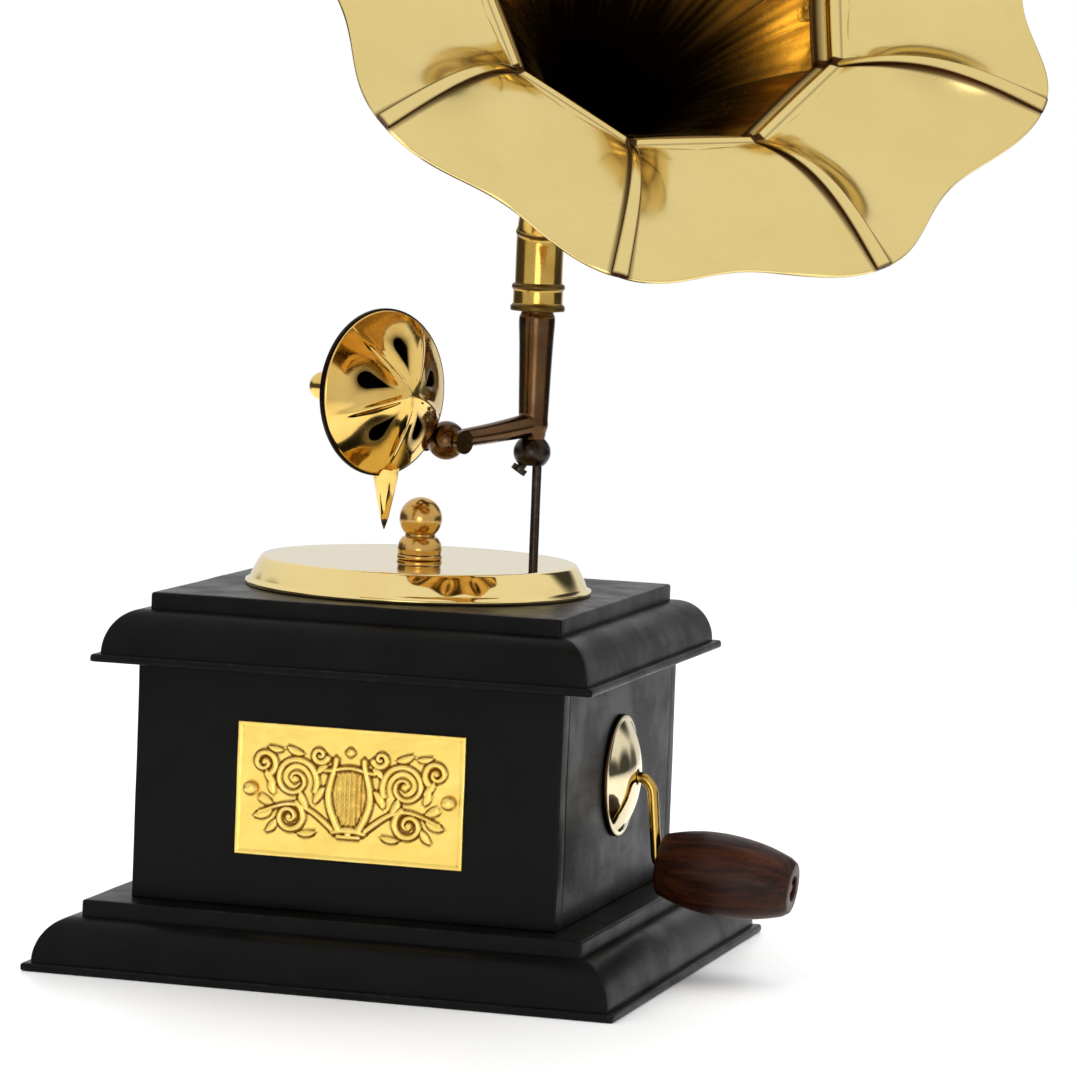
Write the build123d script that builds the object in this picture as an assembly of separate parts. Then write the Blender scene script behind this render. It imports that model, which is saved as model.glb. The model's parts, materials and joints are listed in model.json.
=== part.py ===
from build123d import *
from math import cos, pi, radians, sin, tan
import os

# A small ornamental gramophone: a petalled brass horn on a black moulded wooden base.
# Millimetres. +Z is up, +X runs right along the front face, +Y runs to the back.
# The origin is the centre of the underside of the base board, on the table.

# ---- Wooden case ----
PLINTH_W = 110.0
MOULDING_OUT = 8.3
BOARD_T = 12.4
MOULDING_H = 9.4
MOULDING_STEP = 0.8
LIP_T = 1.4
LIP_OUT = 1.4
CASE_W = 79.6
CASE_TOP = 55.4
PANEL_T = 4.0
POST_W = 8.0
BASE_BOARD_W = PLINTH_W - 2 * MOULDING_OUT
TOP_BOARD_W = BASE_BOARD_W - 2 * MOULDING_OUT
DECK_Z = CASE_TOP + BOARD_T
CASE_SCREW_R = 1.3
CASE_SCREW_HEAD_R = 2.6
CASE_SCREW_REACH = 14.0
CASE_SCREW_INSET = 5.6

# ---- Turntable plate and spindle knob ----
PLATE_R = 32.1
PLATE_TOP_R = 29.2
PLATE_H = 5.3
PLATE_Z = DECK_Z + PLATE_H
KNOB_H = 11.5
KNOB_BALL_R = 3.95
KNOB_NECK_R = 3.0
KNOB_FOOT_R = 4.15
KNOB_FOOT_H = 4.3
STUD_R = 1.5
STUD_BELOW = 6.0
STUD_INTO_KNOB = 6.0

# ---- Support rod and tone arm ----
ROD_X = 15.6
ROD_Y = 22.2
ROD_R = 0.9
ROD_TOP = 109.6
RISER_X = 14.6
RISER_Y = 21.9
RUNNING_GAP = 0.06
END_GAP = 0.3
RISER_TOP = 118.3
RISER_TOP_R = 3.45
CORNER_Z = 97.8
CORNER_R = 2.75
SPIGOT_R = 3.05
SPIGOT_TOP = 130.0
ARM_AZIMUTH = -118.8
BRANCH_REACH = 22.6
BRANCH_END_Z = 95.2
BRANCH_R = 2.3
BRANCH_END_R = 1.65
END_BALL_R = 3.6
BOSS_Z = 92.5
BOSS_H = 4.9
BOSS_R = 3.5
SET_SCREW_HEAD_R = 1.5
SET_SCREW_SHANK_R = 0.8

# ---- Sound box ----
BOX_REACH = 39.3
BOX_Z = 104.4
BOX_R = 15.3
RING_BORE_R = 14.1
RING_T = 1.2
DOME_R = 15.0
DOME_H = 7.4
SHEET_T = 0.6
HOLE_COUNT = 5
HOLE_RING_R = 8.6
HOLE_R = 1.55
HOLE_TAIL = 3.9
CUP_R = 14.2
CUP_DEPTH = 4.6
STUB_R = 3.2
STUB_END = 18.4
PIVOT_BORE_R = 1.0
STRAP_T = 1.0
NEEDLE_OFFSET = 1.6
CONE_TOP_R = 2.6
CONE_TIP_R = 1.15
CONE_TIP = 23.3
NEEDLE_R = 0.65
NEEDLE_TIP = 25.1

# ---- Horn ----
HORN_AZIMUTH = -58.4
HORN_TILT = 30.7
BEND_Z = 137.5
BEND_R = 11.0
NECK_BOTTOM = 119.0
NECK_R = 4.45
NECK_WALL = 0.7
NECK_RING_R = 5.1
NECK_RING_H = 5.3
HORN_REACH = 97.0
MOUTH_R = 68.3
THROAT_R = 34.6
THROAT_DEPTH = 13.5
PETALS = 9
FIRST_SEAM = 213.8
PETAL_RISE = 5.75
PETAL_ROLL = 1.0
PETAL_SCALLOP = 0.09
CONE_POWER = 2.2
LAP_OUT = 1.35
LAP_RISE = 0.5
RIB_HALF_ANGLE = 1.3
RIB_T = 0.85

# ---- Crank ----
CRANK_Z = 35.8
CRANK_R = 1.0
CRANK_INNER_X = 26.0
CRANK_ARM_X = 47.6
HANDLE_Z = 20.1
HANDLE_X = 48.4
HANDLE_DROOP = 6.0
HANDLE_L = 25.2
HANDLE_INNER_R = 5.75
HANDLE_MAX_R = 7.65
HANDLE_OUTER_R = 4.7
CRANK_BEND_R = 3.0
ESCUTCHEON_R = 11.3
ESCUTCHEON_H = 3.6
ESCUTCHEON_T = 0.8
BUSH_R = 2.2

# ---- Plaque ----
PLAQUE_W = 42.6
PLAQUE_H = 24.0
PLAQUE_T = 0.8
PLAQUE_X = 1.0
PLAQUE_Z = 34.0
PLAQUE_PIN_R = 1.4
PLAQUE_PIN_H = 0.9
PLAQUE_PIN_SPREAD = 37.0


def save(node, *shapes):
    """Write one sub-part, of one solid or of several alike."""
    shape = shapes[0] if len(shapes) == 1 else Compound(children=list(shapes))
    export_step(shape, f"parts/{node}.step")


def turned(*edges):
    """A solid of revolution about Z from edges drawn in the XZ plane."""
    return revolve(make_face(edges), Axis.Z)


def outline(*points):
    """Straight edges through (radius, height) points, as one wire in the XZ plane."""
    return Polyline(*[(r, 0, z) for r, z in points])


def arc(start, middle, end):
    """An arc through three (radius, height) points in the XZ plane."""
    return ThreePointArc(*[(r, 0, z) for r, z in (start, middle, end)])


def dome_cap(radius, height, base):
    """A solid spherical cap standing on z = base, of that radius and height."""
    sphere_r = (radius**2 + height**2) / (2 * height)
    ball = Pos(0, 0, base + height - sphere_r) * Sphere(sphere_r)
    return ball & Pos(0, 0, base + sphere_r) * Box(2 * sphere_r, 2 * sphere_r, 2 * sphere_r)


def rod(start, end, radius, end_radius=None):
    """A straight round bar, tapered when end_radius is given, between two points."""
    a, b = Vector(*start), Vector(*end)
    length = (b - a).length
    place = Plane(origin=a, z_dir=b - a)
    tip = radius if end_radius is None else end_radius
    if abs(tip - radius) < 1e-6:
        return place * Pos(0, 0, length / 2) * Cylinder(radius, length)
    return place * Pos(0, 0, length / 2) * Cone(radius, tip, length)


def hex_nut(across_flats, height, bore):
    """A hexagonal nut with its lower face at z = 0."""
    face = RegularPolygon(across_flats / 2, 6, major_radius=False) - Circle(bore)
    return extrude(face, height)


# ---- Case ----
def mitred_moulding(board_w, z):
    """One side of a mitred moulding: a quarter round over a thin lip, under a small step."""
    lip = MOULDING_OUT
    foot = MOULDING_OUT - LIP_OUT
    rise = MOULDING_H - LIP_T
    half = sin(pi / 4)
    middle = (MOULDING_STEP + (foot - MOULDING_STEP) * half, LIP_T + rise * half)
    edge = board_w / 2
    points = [(0, 0), (lip, 0), (lip, LIP_T), (foot, LIP_T)]
    flats = Polyline(*[(0, -edge - u, z + v) for u, v in points])
    round_over = ThreePointArc(
        *[(0, -edge - u, z + v) for u, v in ((foot, LIP_T), middle, (MOULDING_STEP, MOULDING_H))]
    )
    back = Polyline(*[(0, -edge - u, z + v) for u, v in ((MOULDING_STEP, MOULDING_H), (0, MOULDING_H), (0, 0))])
    face = make_face([flats, round_over, back])
    strip = extrude(face, amount=PLINTH_W / 2, dir=(1, 0, 0), both=True)
    reach = PLINTH_W
    mitre = extrude(make_face(Polyline((0, 0), (reach, -reach), (-reach, -reach), close=True)), PLINTH_W)
    return strip & mitre


def case_parts():
    """Boards, mouldings, wall panels, corner posts and the screws that hold them."""
    sides = ("front", "right", "back", "left")
    for turn, side in enumerate(sides):
        save(f"plinth_moulding_{side}", Rot(0, 0, 90 * turn) * mitred_moulding(BASE_BOARD_W, 0))
        save(f"cornice_moulding_{side}", Rot(0, 0, 90 * turn) * mitred_moulding(TOP_BOARD_W, CASE_TOP))

    wall_h = CASE_TOP - BOARD_T
    mid_z = BOARD_T + wall_h / 2
    wall_at = (CASE_W - PANEL_T) / 2
    inner_w = CASE_W - 2 * PANEL_T
    save("case_front", Pos(0, -wall_at, mid_z) * Box(CASE_W, PANEL_T, wall_h))
    save("case_back", Pos(0, wall_at, mid_z) * Box(CASE_W, PANEL_T, wall_h))
    save("case_left", Pos(-wall_at, 0, mid_z) * Box(PANEL_T, inner_w, wall_h))
    right = Pos(wall_at, 0, mid_z) * Box(PANEL_T, inner_w, wall_h)
    right -= rod((wall_at - PANEL_T, 0, CRANK_Z), (wall_at + PANEL_T, 0, CRANK_Z), BUSH_R)
    save("case_right", right)

    post_at = (inner_w - POST_W) / 2
    screw_at = inner_w / 2 - CASE_SCREW_INSET
    posts = []
    screws = []
    base = Pos(0, 0, BOARD_T / 2) * Box(BASE_BOARD_W, BASE_BOARD_W, BOARD_T)
    for sx in (-1, 1):
        for sy in (-1, 1):
            screw = case_screw().moved(Location((sx * screw_at, sy * screw_at, 0)))
            posts.append(Pos(sx * post_at, sy * post_at, mid_z) * Box(POST_W, POST_W, wall_h) - screw)
            base -= screw
            screws.append(screw)
    save("corner_posts", *posts)
    save("base_screws", *screws)
    save("base_board", base)

    top = Pos(0, 0, CASE_TOP + BOARD_T / 2) * Box(TOP_BOARD_W, TOP_BOARD_W, BOARD_T)
    top -= rod((0, 0, CASE_TOP), (0, 0, DECK_Z), STUD_R)
    top -= rod((ROD_X, ROD_Y, CASE_TOP), (ROD_X, ROD_Y, DECK_Z), ROD_R)
    save("top_board", top)


def case_screw():
    """A countersunk wood screw driven up from the underside, its head flush with z = 0."""
    slot = Pos(0, 0, 0.3) * Box(2 * CASE_SCREW_HEAD_R, 0.6, 0.6)
    head_h = CASE_SCREW_HEAD_R - CASE_SCREW_R
    tip = BOARD_T + CASE_SCREW_REACH
    body = turned(
        outline(
            (0, 0),
            (CASE_SCREW_HEAD_R, 0),
            (CASE_SCREW_R, head_h),
            (CASE_SCREW_R, tip - CASE_SCREW_R),
            (0, tip),
            (0, 0),
        )
    )
    return body - slot


# ---- Plate, knob and support rod ----
def plate_parts():
    """The bevelled brass plate and the knob on its stud, with washer and nut below the board."""
    z = DECK_Z
    bevel = arc((PLATE_R - 0.8, z + 1.1), (PLATE_R - 2.2, z + 2.6), (PLATE_TOP_R, PLATE_Z - 0.2))
    rim = outline((0, z), (PLATE_R, z), (PLATE_R, z + 0.6), (PLATE_R - 0.8, z + 1.1))
    top = outline((PLATE_TOP_R, PLATE_Z - 0.2), (PLATE_TOP_R - 0.2, PLATE_Z), (0, PLATE_Z), (0, z))
    plate = turned(rim, bevel, top)
    plate -= rod((0, 0, z), (0, 0, PLATE_Z), STUD_R)
    plate -= rod((ROD_X, ROD_Y, z), (ROD_X, ROD_Y, PLATE_Z), ROD_R)
    save("turntable_plate", plate)

    foot = PLATE_Z
    neck = foot + KNOB_FOOT_H
    ball_z = foot + KNOB_H - KNOB_BALL_R
    ball_start = ball_z - (KNOB_BALL_R**2 - KNOB_NECK_R**2) ** 0.5
    knob = turned(
        outline((0, foot), (KNOB_FOOT_R, foot), (KNOB_FOOT_R, foot + 0.7)),
        arc((KNOB_FOOT_R, foot + 0.7), (KNOB_FOOT_R - 0.05, foot + 2.2), (KNOB_NECK_R, neck)),
        outline((KNOB_NECK_R, neck), (KNOB_NECK_R, ball_start)),
        arc((KNOB_NECK_R, ball_start), (KNOB_BALL_R, ball_z), (0, ball_z + KNOB_BALL_R)),
        outline((0, ball_z + KNOB_BALL_R), (0, foot)),
    )
    stud_top = PLATE_Z + STUD_INTO_KNOB
    knob -= rod((0, 0, foot), (0, 0, stud_top), STUD_R)
    save("spindle_knob", knob)
    save("spindle_stud", rod((0, 0, CASE_TOP - STUD_BELOW), (0, 0, stud_top), STUD_R))
    washer_t = 0.6
    nut_h = 2.4
    save("spindle_washer", Pos(0, 0, CASE_TOP - washer_t / 2) * (Cylinder(3.5, washer_t) - Cylinder(STUD_R, washer_t)))
    save("spindle_nut", Pos(0, 0, CASE_TOP - washer_t - nut_h) * hex_nut(5.5, nut_h, STUD_R))

    at_rod = Pos(ROD_X, ROD_Y, 0)
    save("support_rod", rod((ROD_X, ROD_Y, CASE_TOP - STUD_BELOW), (ROD_X, ROD_Y, ROD_TOP), ROD_R))
    rod_washer = Pos(0, 0, CASE_TOP - washer_t / 2) * (Cylinder(2.6, washer_t) - Cylinder(ROD_R, washer_t))
    save("rod_washer", at_rod * rod_washer)
    save("rod_nut", at_rod * Pos(0, 0, CASE_TOP - washer_t - nut_h) * hex_nut(4.0, nut_h, ROD_R))


# ---- Tone arm ----
def heading(azimuth, distance):
    """Offset along a horizontal bearing."""
    return distance * cos(radians(azimuth)), distance * sin(radians(azimuth))


def arm_parts():
    """The cast L-shaped arm, its bottom boss with a set screw, and its end ball."""
    corner = Vector(RISER_X, RISER_Y, CORNER_Z)
    bx, by = heading(ARM_AZIMUTH, BRANCH_REACH)
    end = Vector(RISER_X + bx, RISER_Y + by, BRANCH_END_Z)
    shoulder = Vector(RISER_X, RISER_Y, RISER_TOP)
    boss_top = Vector(RISER_X, RISER_Y, BOSS_Z + BOSS_H / 2)
    rod_bore = rod((ROD_X, ROD_Y, BOSS_Z - BOSS_H), (ROD_X, ROD_Y, ROD_TOP + END_GAP), ROD_R + RUNNING_GAP)
    ball = Pos(*end) * Sphere(END_BALL_R)

    arm = rod(corner, shoulder, CORNER_R, RISER_TOP_R)
    arm += Pos(*corner) * Sphere(CORNER_R)
    arm += rod(boss_top, corner, BRANCH_R, CORNER_R)
    arm += rod(corner, end, BRANCH_R, BRANCH_END_R)
    arm += rod(shoulder, (RISER_X, RISER_Y, SPIGOT_TOP), SPIGOT_R)
    arm -= ball
    save("tone_arm", arm - rod_bore)

    out = Vector(*heading(ARM_AZIMUTH + 90, END_BALL_R))
    save("arm_end_ball", ball - rod(end - out, end + out, PIVOT_BORE_R + RUNNING_GAP))

    flat_r = BOSS_R - 1.2
    low, high = BOSS_Z - BOSS_H / 2, BOSS_Z + BOSS_H / 2
    boss = turned(
        outline((0, low), (flat_r, low)),
        arc((flat_r, low), (BOSS_R, BOSS_Z), (flat_r, high)),
        outline((flat_r, high), (0, high), (0, low)),
    )
    boss_mid = Vector(RISER_X, RISER_Y, BOSS_Z)
    screw_dir = Vector(-0.54, -0.16, -0.83).normalized()
    head_in = boss_mid + screw_dir * BOSS_R
    head_out = head_in + screw_dir * 1.1
    rod_side = boss_mid + screw_dir * 1.3
    screw = rod(rod_side, head_in, SET_SCREW_SHANK_R) + rod(head_in, head_out, SET_SCREW_HEAD_R)
    boss = Pos(RISER_X, RISER_Y, 0) * boss - rod_bore - rod(rod_side, head_out, SET_SCREW_SHANK_R)
    save("arm_boss", boss - rod(head_in, head_out, SET_SCREW_HEAD_R))
    save("arm_set_screw", screw)


# ---- Sound box ----
def box_plane():
    """The sound box's own frame: X towards the riser, Y up, Z out of its face."""
    dx, dy = heading(ARM_AZIMUTH, BOX_REACH)
    tx, ty = heading(ARM_AZIMUTH + 180, 1)
    nx, ny = heading(ARM_AZIMUTH + 90, 1)
    return Plane(origin=(RISER_X + dx, RISER_Y + dy, BOX_Z), x_dir=(tx, ty, 0), z_dir=(nx, ny, 0))


def sound_box_parts():
    """Pressed front dome with five drops, ring, back cup and stub, needle and pivot."""
    place = box_plane()
    front_z = RING_T / 2
    cut = RING_T / 2
    outer_mid = (DOME_R * 0.55, front_z + DOME_H * 0.66)
    inner_mid = (outer_mid[0] - SHEET_T * 0.6, outer_mid[1] - SHEET_T * 0.8)
    dome = turned(
        outline((DOME_R - SHEET_T, front_z), (DOME_R, front_z)),
        arc((DOME_R, front_z), outer_mid, (0, front_z + DOME_H)),
        outline((0, front_z + DOME_H), (0, front_z + DOME_H - SHEET_T)),
        arc((0, front_z + DOME_H - SHEET_T), inner_mid, (DOME_R - SHEET_T, front_z)),
    )
    tail = HOLE_RING_R - HOLE_TAIL
    drop = Pos(HOLE_RING_R, 0) * Circle(HOLE_R) + make_face(
        Polyline((HOLE_RING_R, HOLE_R), (tail, 0), (HOLE_RING_R, -HOLE_R), close=True)
    )
    for k in range(HOLE_COUNT):
        dome -= Rot(0, 0, 90 + k * 360 / HOLE_COUNT) * extrude(drop, DOME_H + front_z + 1)
    save("sound_box_dome", place * dome)

    ring = Cylinder(BOX_R, RING_T) - Cylinder(RING_BORE_R, RING_T)
    save("sound_box_ring", place * ring)

    back = -cut - CUP_DEPTH
    round_r = 1.6
    cup = turned(
        outline((CUP_R, -cut), (CUP_R, back + round_r)),
        arc((CUP_R, back + round_r), (CUP_R - round_r * (1 - sin(pi / 4)), back + round_r * (1 - sin(pi / 4))),
            (CUP_R - round_r, back)),
        outline((CUP_R - round_r, back), (0, back), (0, back + SHEET_T), (CUP_R - round_r, back + SHEET_T)),
        arc((CUP_R - round_r, back + SHEET_T),
            (CUP_R - SHEET_T - (round_r - SHEET_T) * (1 - sin(pi / 4)), back + SHEET_T + (round_r - SHEET_T) * (1 - sin(pi / 4))),
            (CUP_R - SHEET_T, back + round_r)),
        outline((CUP_R - SHEET_T, back + round_r), (CUP_R - SHEET_T, -cut), (CUP_R, -cut)),
    )
    save("sound_box_cup", place * cup)

    stub = turned(
        outline((0, back), (STUB_R, back), (STUB_R, -STUB_END + STUB_R)),
        arc((STUB_R, -STUB_END + STUB_R), (STUB_R * sin(pi / 4), -STUB_END + STUB_R * (1 - sin(pi / 4))), (0, -STUB_END)),
        outline((0, -STUB_END), (0, back)),
    )
    save("sound_box_stub", place * stub)

    px = BOX_REACH - BRANCH_REACH
    py = BRANCH_END_Z - BOX_Z
    pivot = Pos(px, py)
    strap_back = back - STRAP_T
    strap_face = pivot * Circle(2.4) + make_hull(
        (pivot * Circle(2.4)).edges() + (Pos(px * 0.6, py * 0.6) * Circle(2.4)).edges()
    )
    strap = extrude(Pos(0, 0, strap_back) * strap_face, STRAP_T)
    bore = Pos(px, py, strap_back) * Cylinder(PIVOT_BORE_R, STRAP_T, align=(Align.CENTER, Align.CENTER, Align.MIN))
    save("pivot_strap", place * (strap - bore))
    spacer_top = -END_BALL_R + 0.25
    spacer_h = spacer_top - back
    spacer = Pos(px, py, back + spacer_h / 2) * (Cylinder(1.9, spacer_h) - Cylinder(PIVOT_BORE_R, spacer_h))
    ball_gap = Pos(px, py, 0) * Sphere(END_BALL_R + END_GAP)
    save("pivot_spacer", place * (spacer - ball_gap))
    shank_h = END_BALL_R + END_GAP - strap_back
    head = Pos(px, py, END_BALL_R + END_GAP + 0.5) * Cylinder(2.2, 1.0)
    shank = Pos(px, py, strap_back + shank_h / 2) * Cylinder(PIVOT_BORE_R, shank_h)
    slot = Pos(px, py, END_BALL_R + END_GAP + 0.8) * Box(4.4, 0.5, 0.4)
    save("pivot_screw", place * (head + shank - slot))

    cone = rod((NEEDLE_OFFSET, -RING_BORE_R, 0), (NEEDLE_OFFSET, -CONE_TIP, 0), CONE_TOP_R, CONE_TIP_R)
    cone -= Cylinder(BOX_R, 2 * CONE_TOP_R + 1)
    needle_root = CONE_TIP - 3.0
    needle_body = rod((NEEDLE_OFFSET, -needle_root, 0), (NEEDLE_OFFSET, -CONE_TIP, 0), NEEDLE_R)
    save("needle_cone", place * (cone - needle_body))
    needle_point = rod((NEEDLE_OFFSET, -CONE_TIP, 0), (NEEDLE_OFFSET, -NEEDLE_TIP, 0), NEEDLE_R, NEEDLE_R / 3)
    save("needle", place * (needle_body + needle_point))


# ---- Horn ----
def horn_axis():
    """Unit vector of the horn, from its bend towards the mouth."""
    x, y = heading(HORN_AZIMUTH, cos(radians(HORN_TILT)))
    return Vector(x, y, sin(radians(HORN_TILT)))


def horn_plane():
    """The horn's own frame: origin at the mouth's centre, Z out of the mouth, X level."""
    axis = horn_axis()
    origin = Vector(RISER_X, RISER_Y, BEND_Z) + axis * HORN_REACH
    sx, sy = heading(HORN_AZIMUTH + 90, 1)
    return Plane(origin=origin, x_dir=(sx, sy, 0), z_dir=axis)


def petal_point(s, lift=0.0):
    """A point (radius, height) on the petals' front face, s from the throat 0 to the rim 1."""
    span = MOUTH_R - THROAT_R
    rise = 4 * PETAL_RISE * s * (1 - s)
    roll = 8 * PETAL_ROLL * s * (1 - s) * (1 - 2 * s)
    slope = THROAT_DEPTH + 4 * PETAL_RISE * (1 - 2 * s) + 8 * PETAL_ROLL * (1 - 6 * s + 6 * s * s)
    size = (span**2 + slope**2) ** 0.5
    r = THROAT_R + span * s - lift * slope / size
    h = -THROAT_DEPTH * (1 - s) + rise + roll + lift * span / size
    return r, h


def petal_curve(lift, start=0.0, steps=14):
    """The petal profile offset by lift, as a smooth edge in the XZ plane."""
    points = [petal_point(start + (1 - start) * k / steps, lift) for k in range(steps + 1)]
    return Spline(*[(r, 0, h) for r, h in points]), points[0], points[-1]


def profile_face(front, back):
    """The face between two petal curves."""
    front_edge, front_start, front_end = front
    back_edge, back_start, back_end = back
    root = outline(front_start, back_start)
    rim = outline(front_end, back_end)
    return make_face([front_edge, rim, back_edge, root])


def scallop_prism():
    """A prism with the horn's lobed outline: widest at the seams, drawn in between them."""
    steps = 12 * PETALS
    points = []
    for k in range(steps):
        turn = 2 * pi * k / steps
        lobe = (1 - cos(PETALS * turn)) / 2
        r = MOUTH_R * (1 - PETAL_SCALLOP * lobe)
        angle = turn + radians(FIRST_SEAM)
        points.append((r * cos(angle), r * sin(angle)))
    face = make_face(Spline(*points, periodic=True))
    return Pos(0, 0, -2 * THROAT_DEPTH) * extrude(face, 3 * THROAT_DEPTH)


def horn_parts():
    """Neck socket, bend, cone, nine petals and the ribs over their seams."""
    bore = SPIGOT_R + RUNNING_GAP
    axis = horn_axis()
    bend_angle = 90 - HORN_TILT
    tangent = BEND_R * tan(radians(bend_angle / 2))
    neck_top = BEND_Z - tangent
    inner = NECK_R - NECK_WALL
    ledge = SPIGOT_TOP + END_GAP
    ring_top = NECK_BOTTOM + NECK_RING_H
    at_riser = Pos(RISER_X, RISER_Y, 0)
    neck = turned(
        outline(
            (bore, NECK_BOTTOM),
            (NECK_R, NECK_BOTTOM),
            (NECK_R, neck_top),
            (SPIGOT_R - 0.5, neck_top),
            (SPIGOT_R - 0.5, ledge),
            (bore, ledge),
            (bore, NECK_BOTTOM),
        )
    )
    save("horn_neck", at_riser * neck)
    ring = turned(
        outline((NECK_R, NECK_BOTTOM), (NECK_RING_R, NECK_BOTTOM), (NECK_RING_R, ring_top - 0.8)),
        arc((NECK_RING_R, ring_top - 0.8), (NECK_RING_R - 0.15, ring_top - 0.25), (NECK_R, ring_top)),
        outline((NECK_R, ring_top), (NECK_R, NECK_BOTTOM)),
    )
    save("neck_ring", at_riser * ring)

    fx, fy = heading(HORN_AZIMUTH, BEND_R)
    sx, sy = heading(HORN_AZIMUTH + 90, 1)
    hub = Axis((RISER_X + fx, RISER_Y + fy, neck_top), (sx, sy, 0))
    section = Pos(RISER_X, RISER_Y, neck_top) * (Circle(NECK_R) - Circle(inner))
    save("horn_bend", revolve(section, hub, bend_angle))

    place = horn_plane()
    cone_l = HORN_REACH - tangent - THROAT_DEPTH + LAP_RISE
    root = -HORN_REACH + tangent
    steps = 16
    flare = []
    for k in range(steps + 1):
        u = k / steps
        flare.append((inner + (THROAT_R + LAP_OUT - inner) * u**CONE_POWER, root + cone_l * u))
    skin = [(r + NECK_WALL, h) for r, h in flare]
    cone = turned(
        Spline(*[(r, 0, h) for r, h in flare]),
        outline(flare[-1], skin[-1]),
        Spline(*[(r, 0, h) for r, h in reversed(skin)]),
        outline(skin[0], flare[0]),
    )
    save("horn_cone", place * cone)

    sector = 360 / PETALS
    prism = scallop_prism()
    front = petal_curve(0.0)
    sheet = profile_face(front, petal_curve(-SHEET_T))
    rib_face = profile_face(petal_curve(RIB_T, 0.02), petal_curve(0.0, 0.02))
    ribs = []
    for k in range(PETALS):
        turn = FIRST_SEAM + k * sector
        petal = Rot(0, 0, turn) * revolve(sheet, Axis.Z, sector)
        save(f"petal_{k + 1}", place * (petal & prism))
        rib = Rot(0, 0, turn - RIB_HALF_ANGLE) * revolve(rib_face, Axis.Z, 2 * RIB_HALF_ANGLE)
        ribs.append(place * (rib & prism))
    save("seam_ribs", *ribs)


# ---- Crank ----
def crank_parts():
    """Escutcheon and bush in the wall, the bent crank wire and its turned wooden handle."""
    wall = CASE_W / 2
    flat_to_wall = Plane(origin=(wall, 0, CRANK_Z), x_dir=(0, 1, 0), z_dir=(1, 0, 0))
    hole = CRANK_R + END_GAP
    top = ESCUTCHEON_H
    dome = turned(
        outline((ESCUTCHEON_R - ESCUTCHEON_T, 0), (ESCUTCHEON_R, 0)),
        arc((ESCUTCHEON_R, 0), (ESCUTCHEON_R * 0.62, top * 0.66), (hole, top)),
        outline((hole, top), (hole, top - ESCUTCHEON_T)),
        arc((hole, top - ESCUTCHEON_T), (ESCUTCHEON_R * 0.58, top * 0.66 - ESCUTCHEON_T),
            (ESCUTCHEON_R - ESCUTCHEON_T, 0)),
    )
    save("escutcheon", flat_to_wall * dome)
    bush = Cylinder(BUSH_R, PANEL_T) - Cylinder(CRANK_R + RUNNING_GAP, PANEL_T)
    save("crank_bush", flat_to_wall * Pos(0, 0, -PANEL_T / 2) * bush)

    droop = radians(HANDLE_DROOP)
    out = Vector(cos(droop), 0, -sin(droop))
    grip = Vector(HANDLE_X, 0, HANDLE_Z)
    elbow = grip - out * (HANDLE_X - CRANK_ARM_X) / cos(droop)
    handle_plane = Plane(origin=grip, x_dir=(0, 1, 0), z_dir=out)
    rivet_seat = HANDLE_L - 1.4
    wire_end = grip + out * rivet_seat
    path = FilletPolyline(
        (CRANK_INNER_X, 0, CRANK_Z),
        (CRANK_ARM_X, 0, CRANK_Z),
        tuple(elbow - Vector(0.5, 0, 0)),
        tuple(wire_end),
        radius=[CRANK_BEND_R, CRANK_R * 1.02],
    )
    section = Plane(origin=(CRANK_INNER_X, 0, CRANK_Z), z_dir=(1, 0, 0)) * Circle(CRANK_R)
    save("crank_wire", sweep(section, path=path))

    collar_t = 2.5
    collar_at = wall - PANEL_T - END_GAP - collar_t / 2
    collar = Cylinder(3.2, collar_t) - Cylinder(CRANK_R, collar_t)
    save("crank_collar", Plane(origin=(collar_at, 0, CRANK_Z), z_dir=(1, 0, 0)) * collar)

    shaft = CRANK_R + RUNNING_GAP
    recess = 2.3
    handle = turned(
        outline((shaft, 0), (HANDLE_INNER_R - 0.6, 0), (HANDLE_INNER_R, 0.6)),
        arc((HANDLE_INNER_R, 0.6), (HANDLE_MAX_R, HANDLE_L * 0.42), (HANDLE_OUTER_R + 0.7, HANDLE_L - 1.2)),
        outline(
            (HANDLE_OUTER_R + 0.7, HANDLE_L - 1.2),
            (HANDLE_OUTER_R - 0.2, HANDLE_L),
            (recess, HANDLE_L),
            (recess, rivet_seat - END_GAP),
            (shaft, rivet_seat - END_GAP),
            (shaft, 0),
        ),
    )
    save("crank_handle", handle_plane * handle)
    save("crank_rivet", handle_plane * dome_cap(recess - END_GAP, 1.1, rivet_seat))


# ---- Plaque ----
def plaque_parts():
    """A thin pressed plate on the front wall, held by two dome-headed pins."""
    face_y = -CASE_W / 2
    plate = Pos(PLAQUE_X, face_y - PLAQUE_T / 2, PLAQUE_Z) * Box(PLAQUE_W, PLAQUE_T, PLAQUE_H)
    pins = []
    for side in (-1, 1):
        x = PLAQUE_X + side * PLAQUE_PIN_SPREAD / 2
        shank = rod((x, face_y - PLAQUE_T, PLAQUE_Z), (x, face_y, PLAQUE_Z), 0.5)
        seat = Plane(origin=(x, face_y - PLAQUE_T, PLAQUE_Z), z_dir=(0, -1, 0))
        head = seat * dome_cap(PLAQUE_PIN_R, PLAQUE_PIN_H, 0)
        plate -= shank
        pins.append(shank + head)
    save("plaque", plate)
    save("plaque_pins", *pins)


os.makedirs("parts", exist_ok=True)
case_parts()
plate_parts()
arm_parts()
sound_box_parts()
horn_parts()
crank_parts()
plaque_parts()
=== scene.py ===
"""Looks of a small ornamental horn gramophone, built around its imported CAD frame.

Classes work in millimetres in the row frame; meshes are stored in metres.
"""

from __future__ import annotations

import json
import logging
from dataclasses import dataclass, field
from enum import Enum
from typing import Iterable, Sequence

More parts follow.
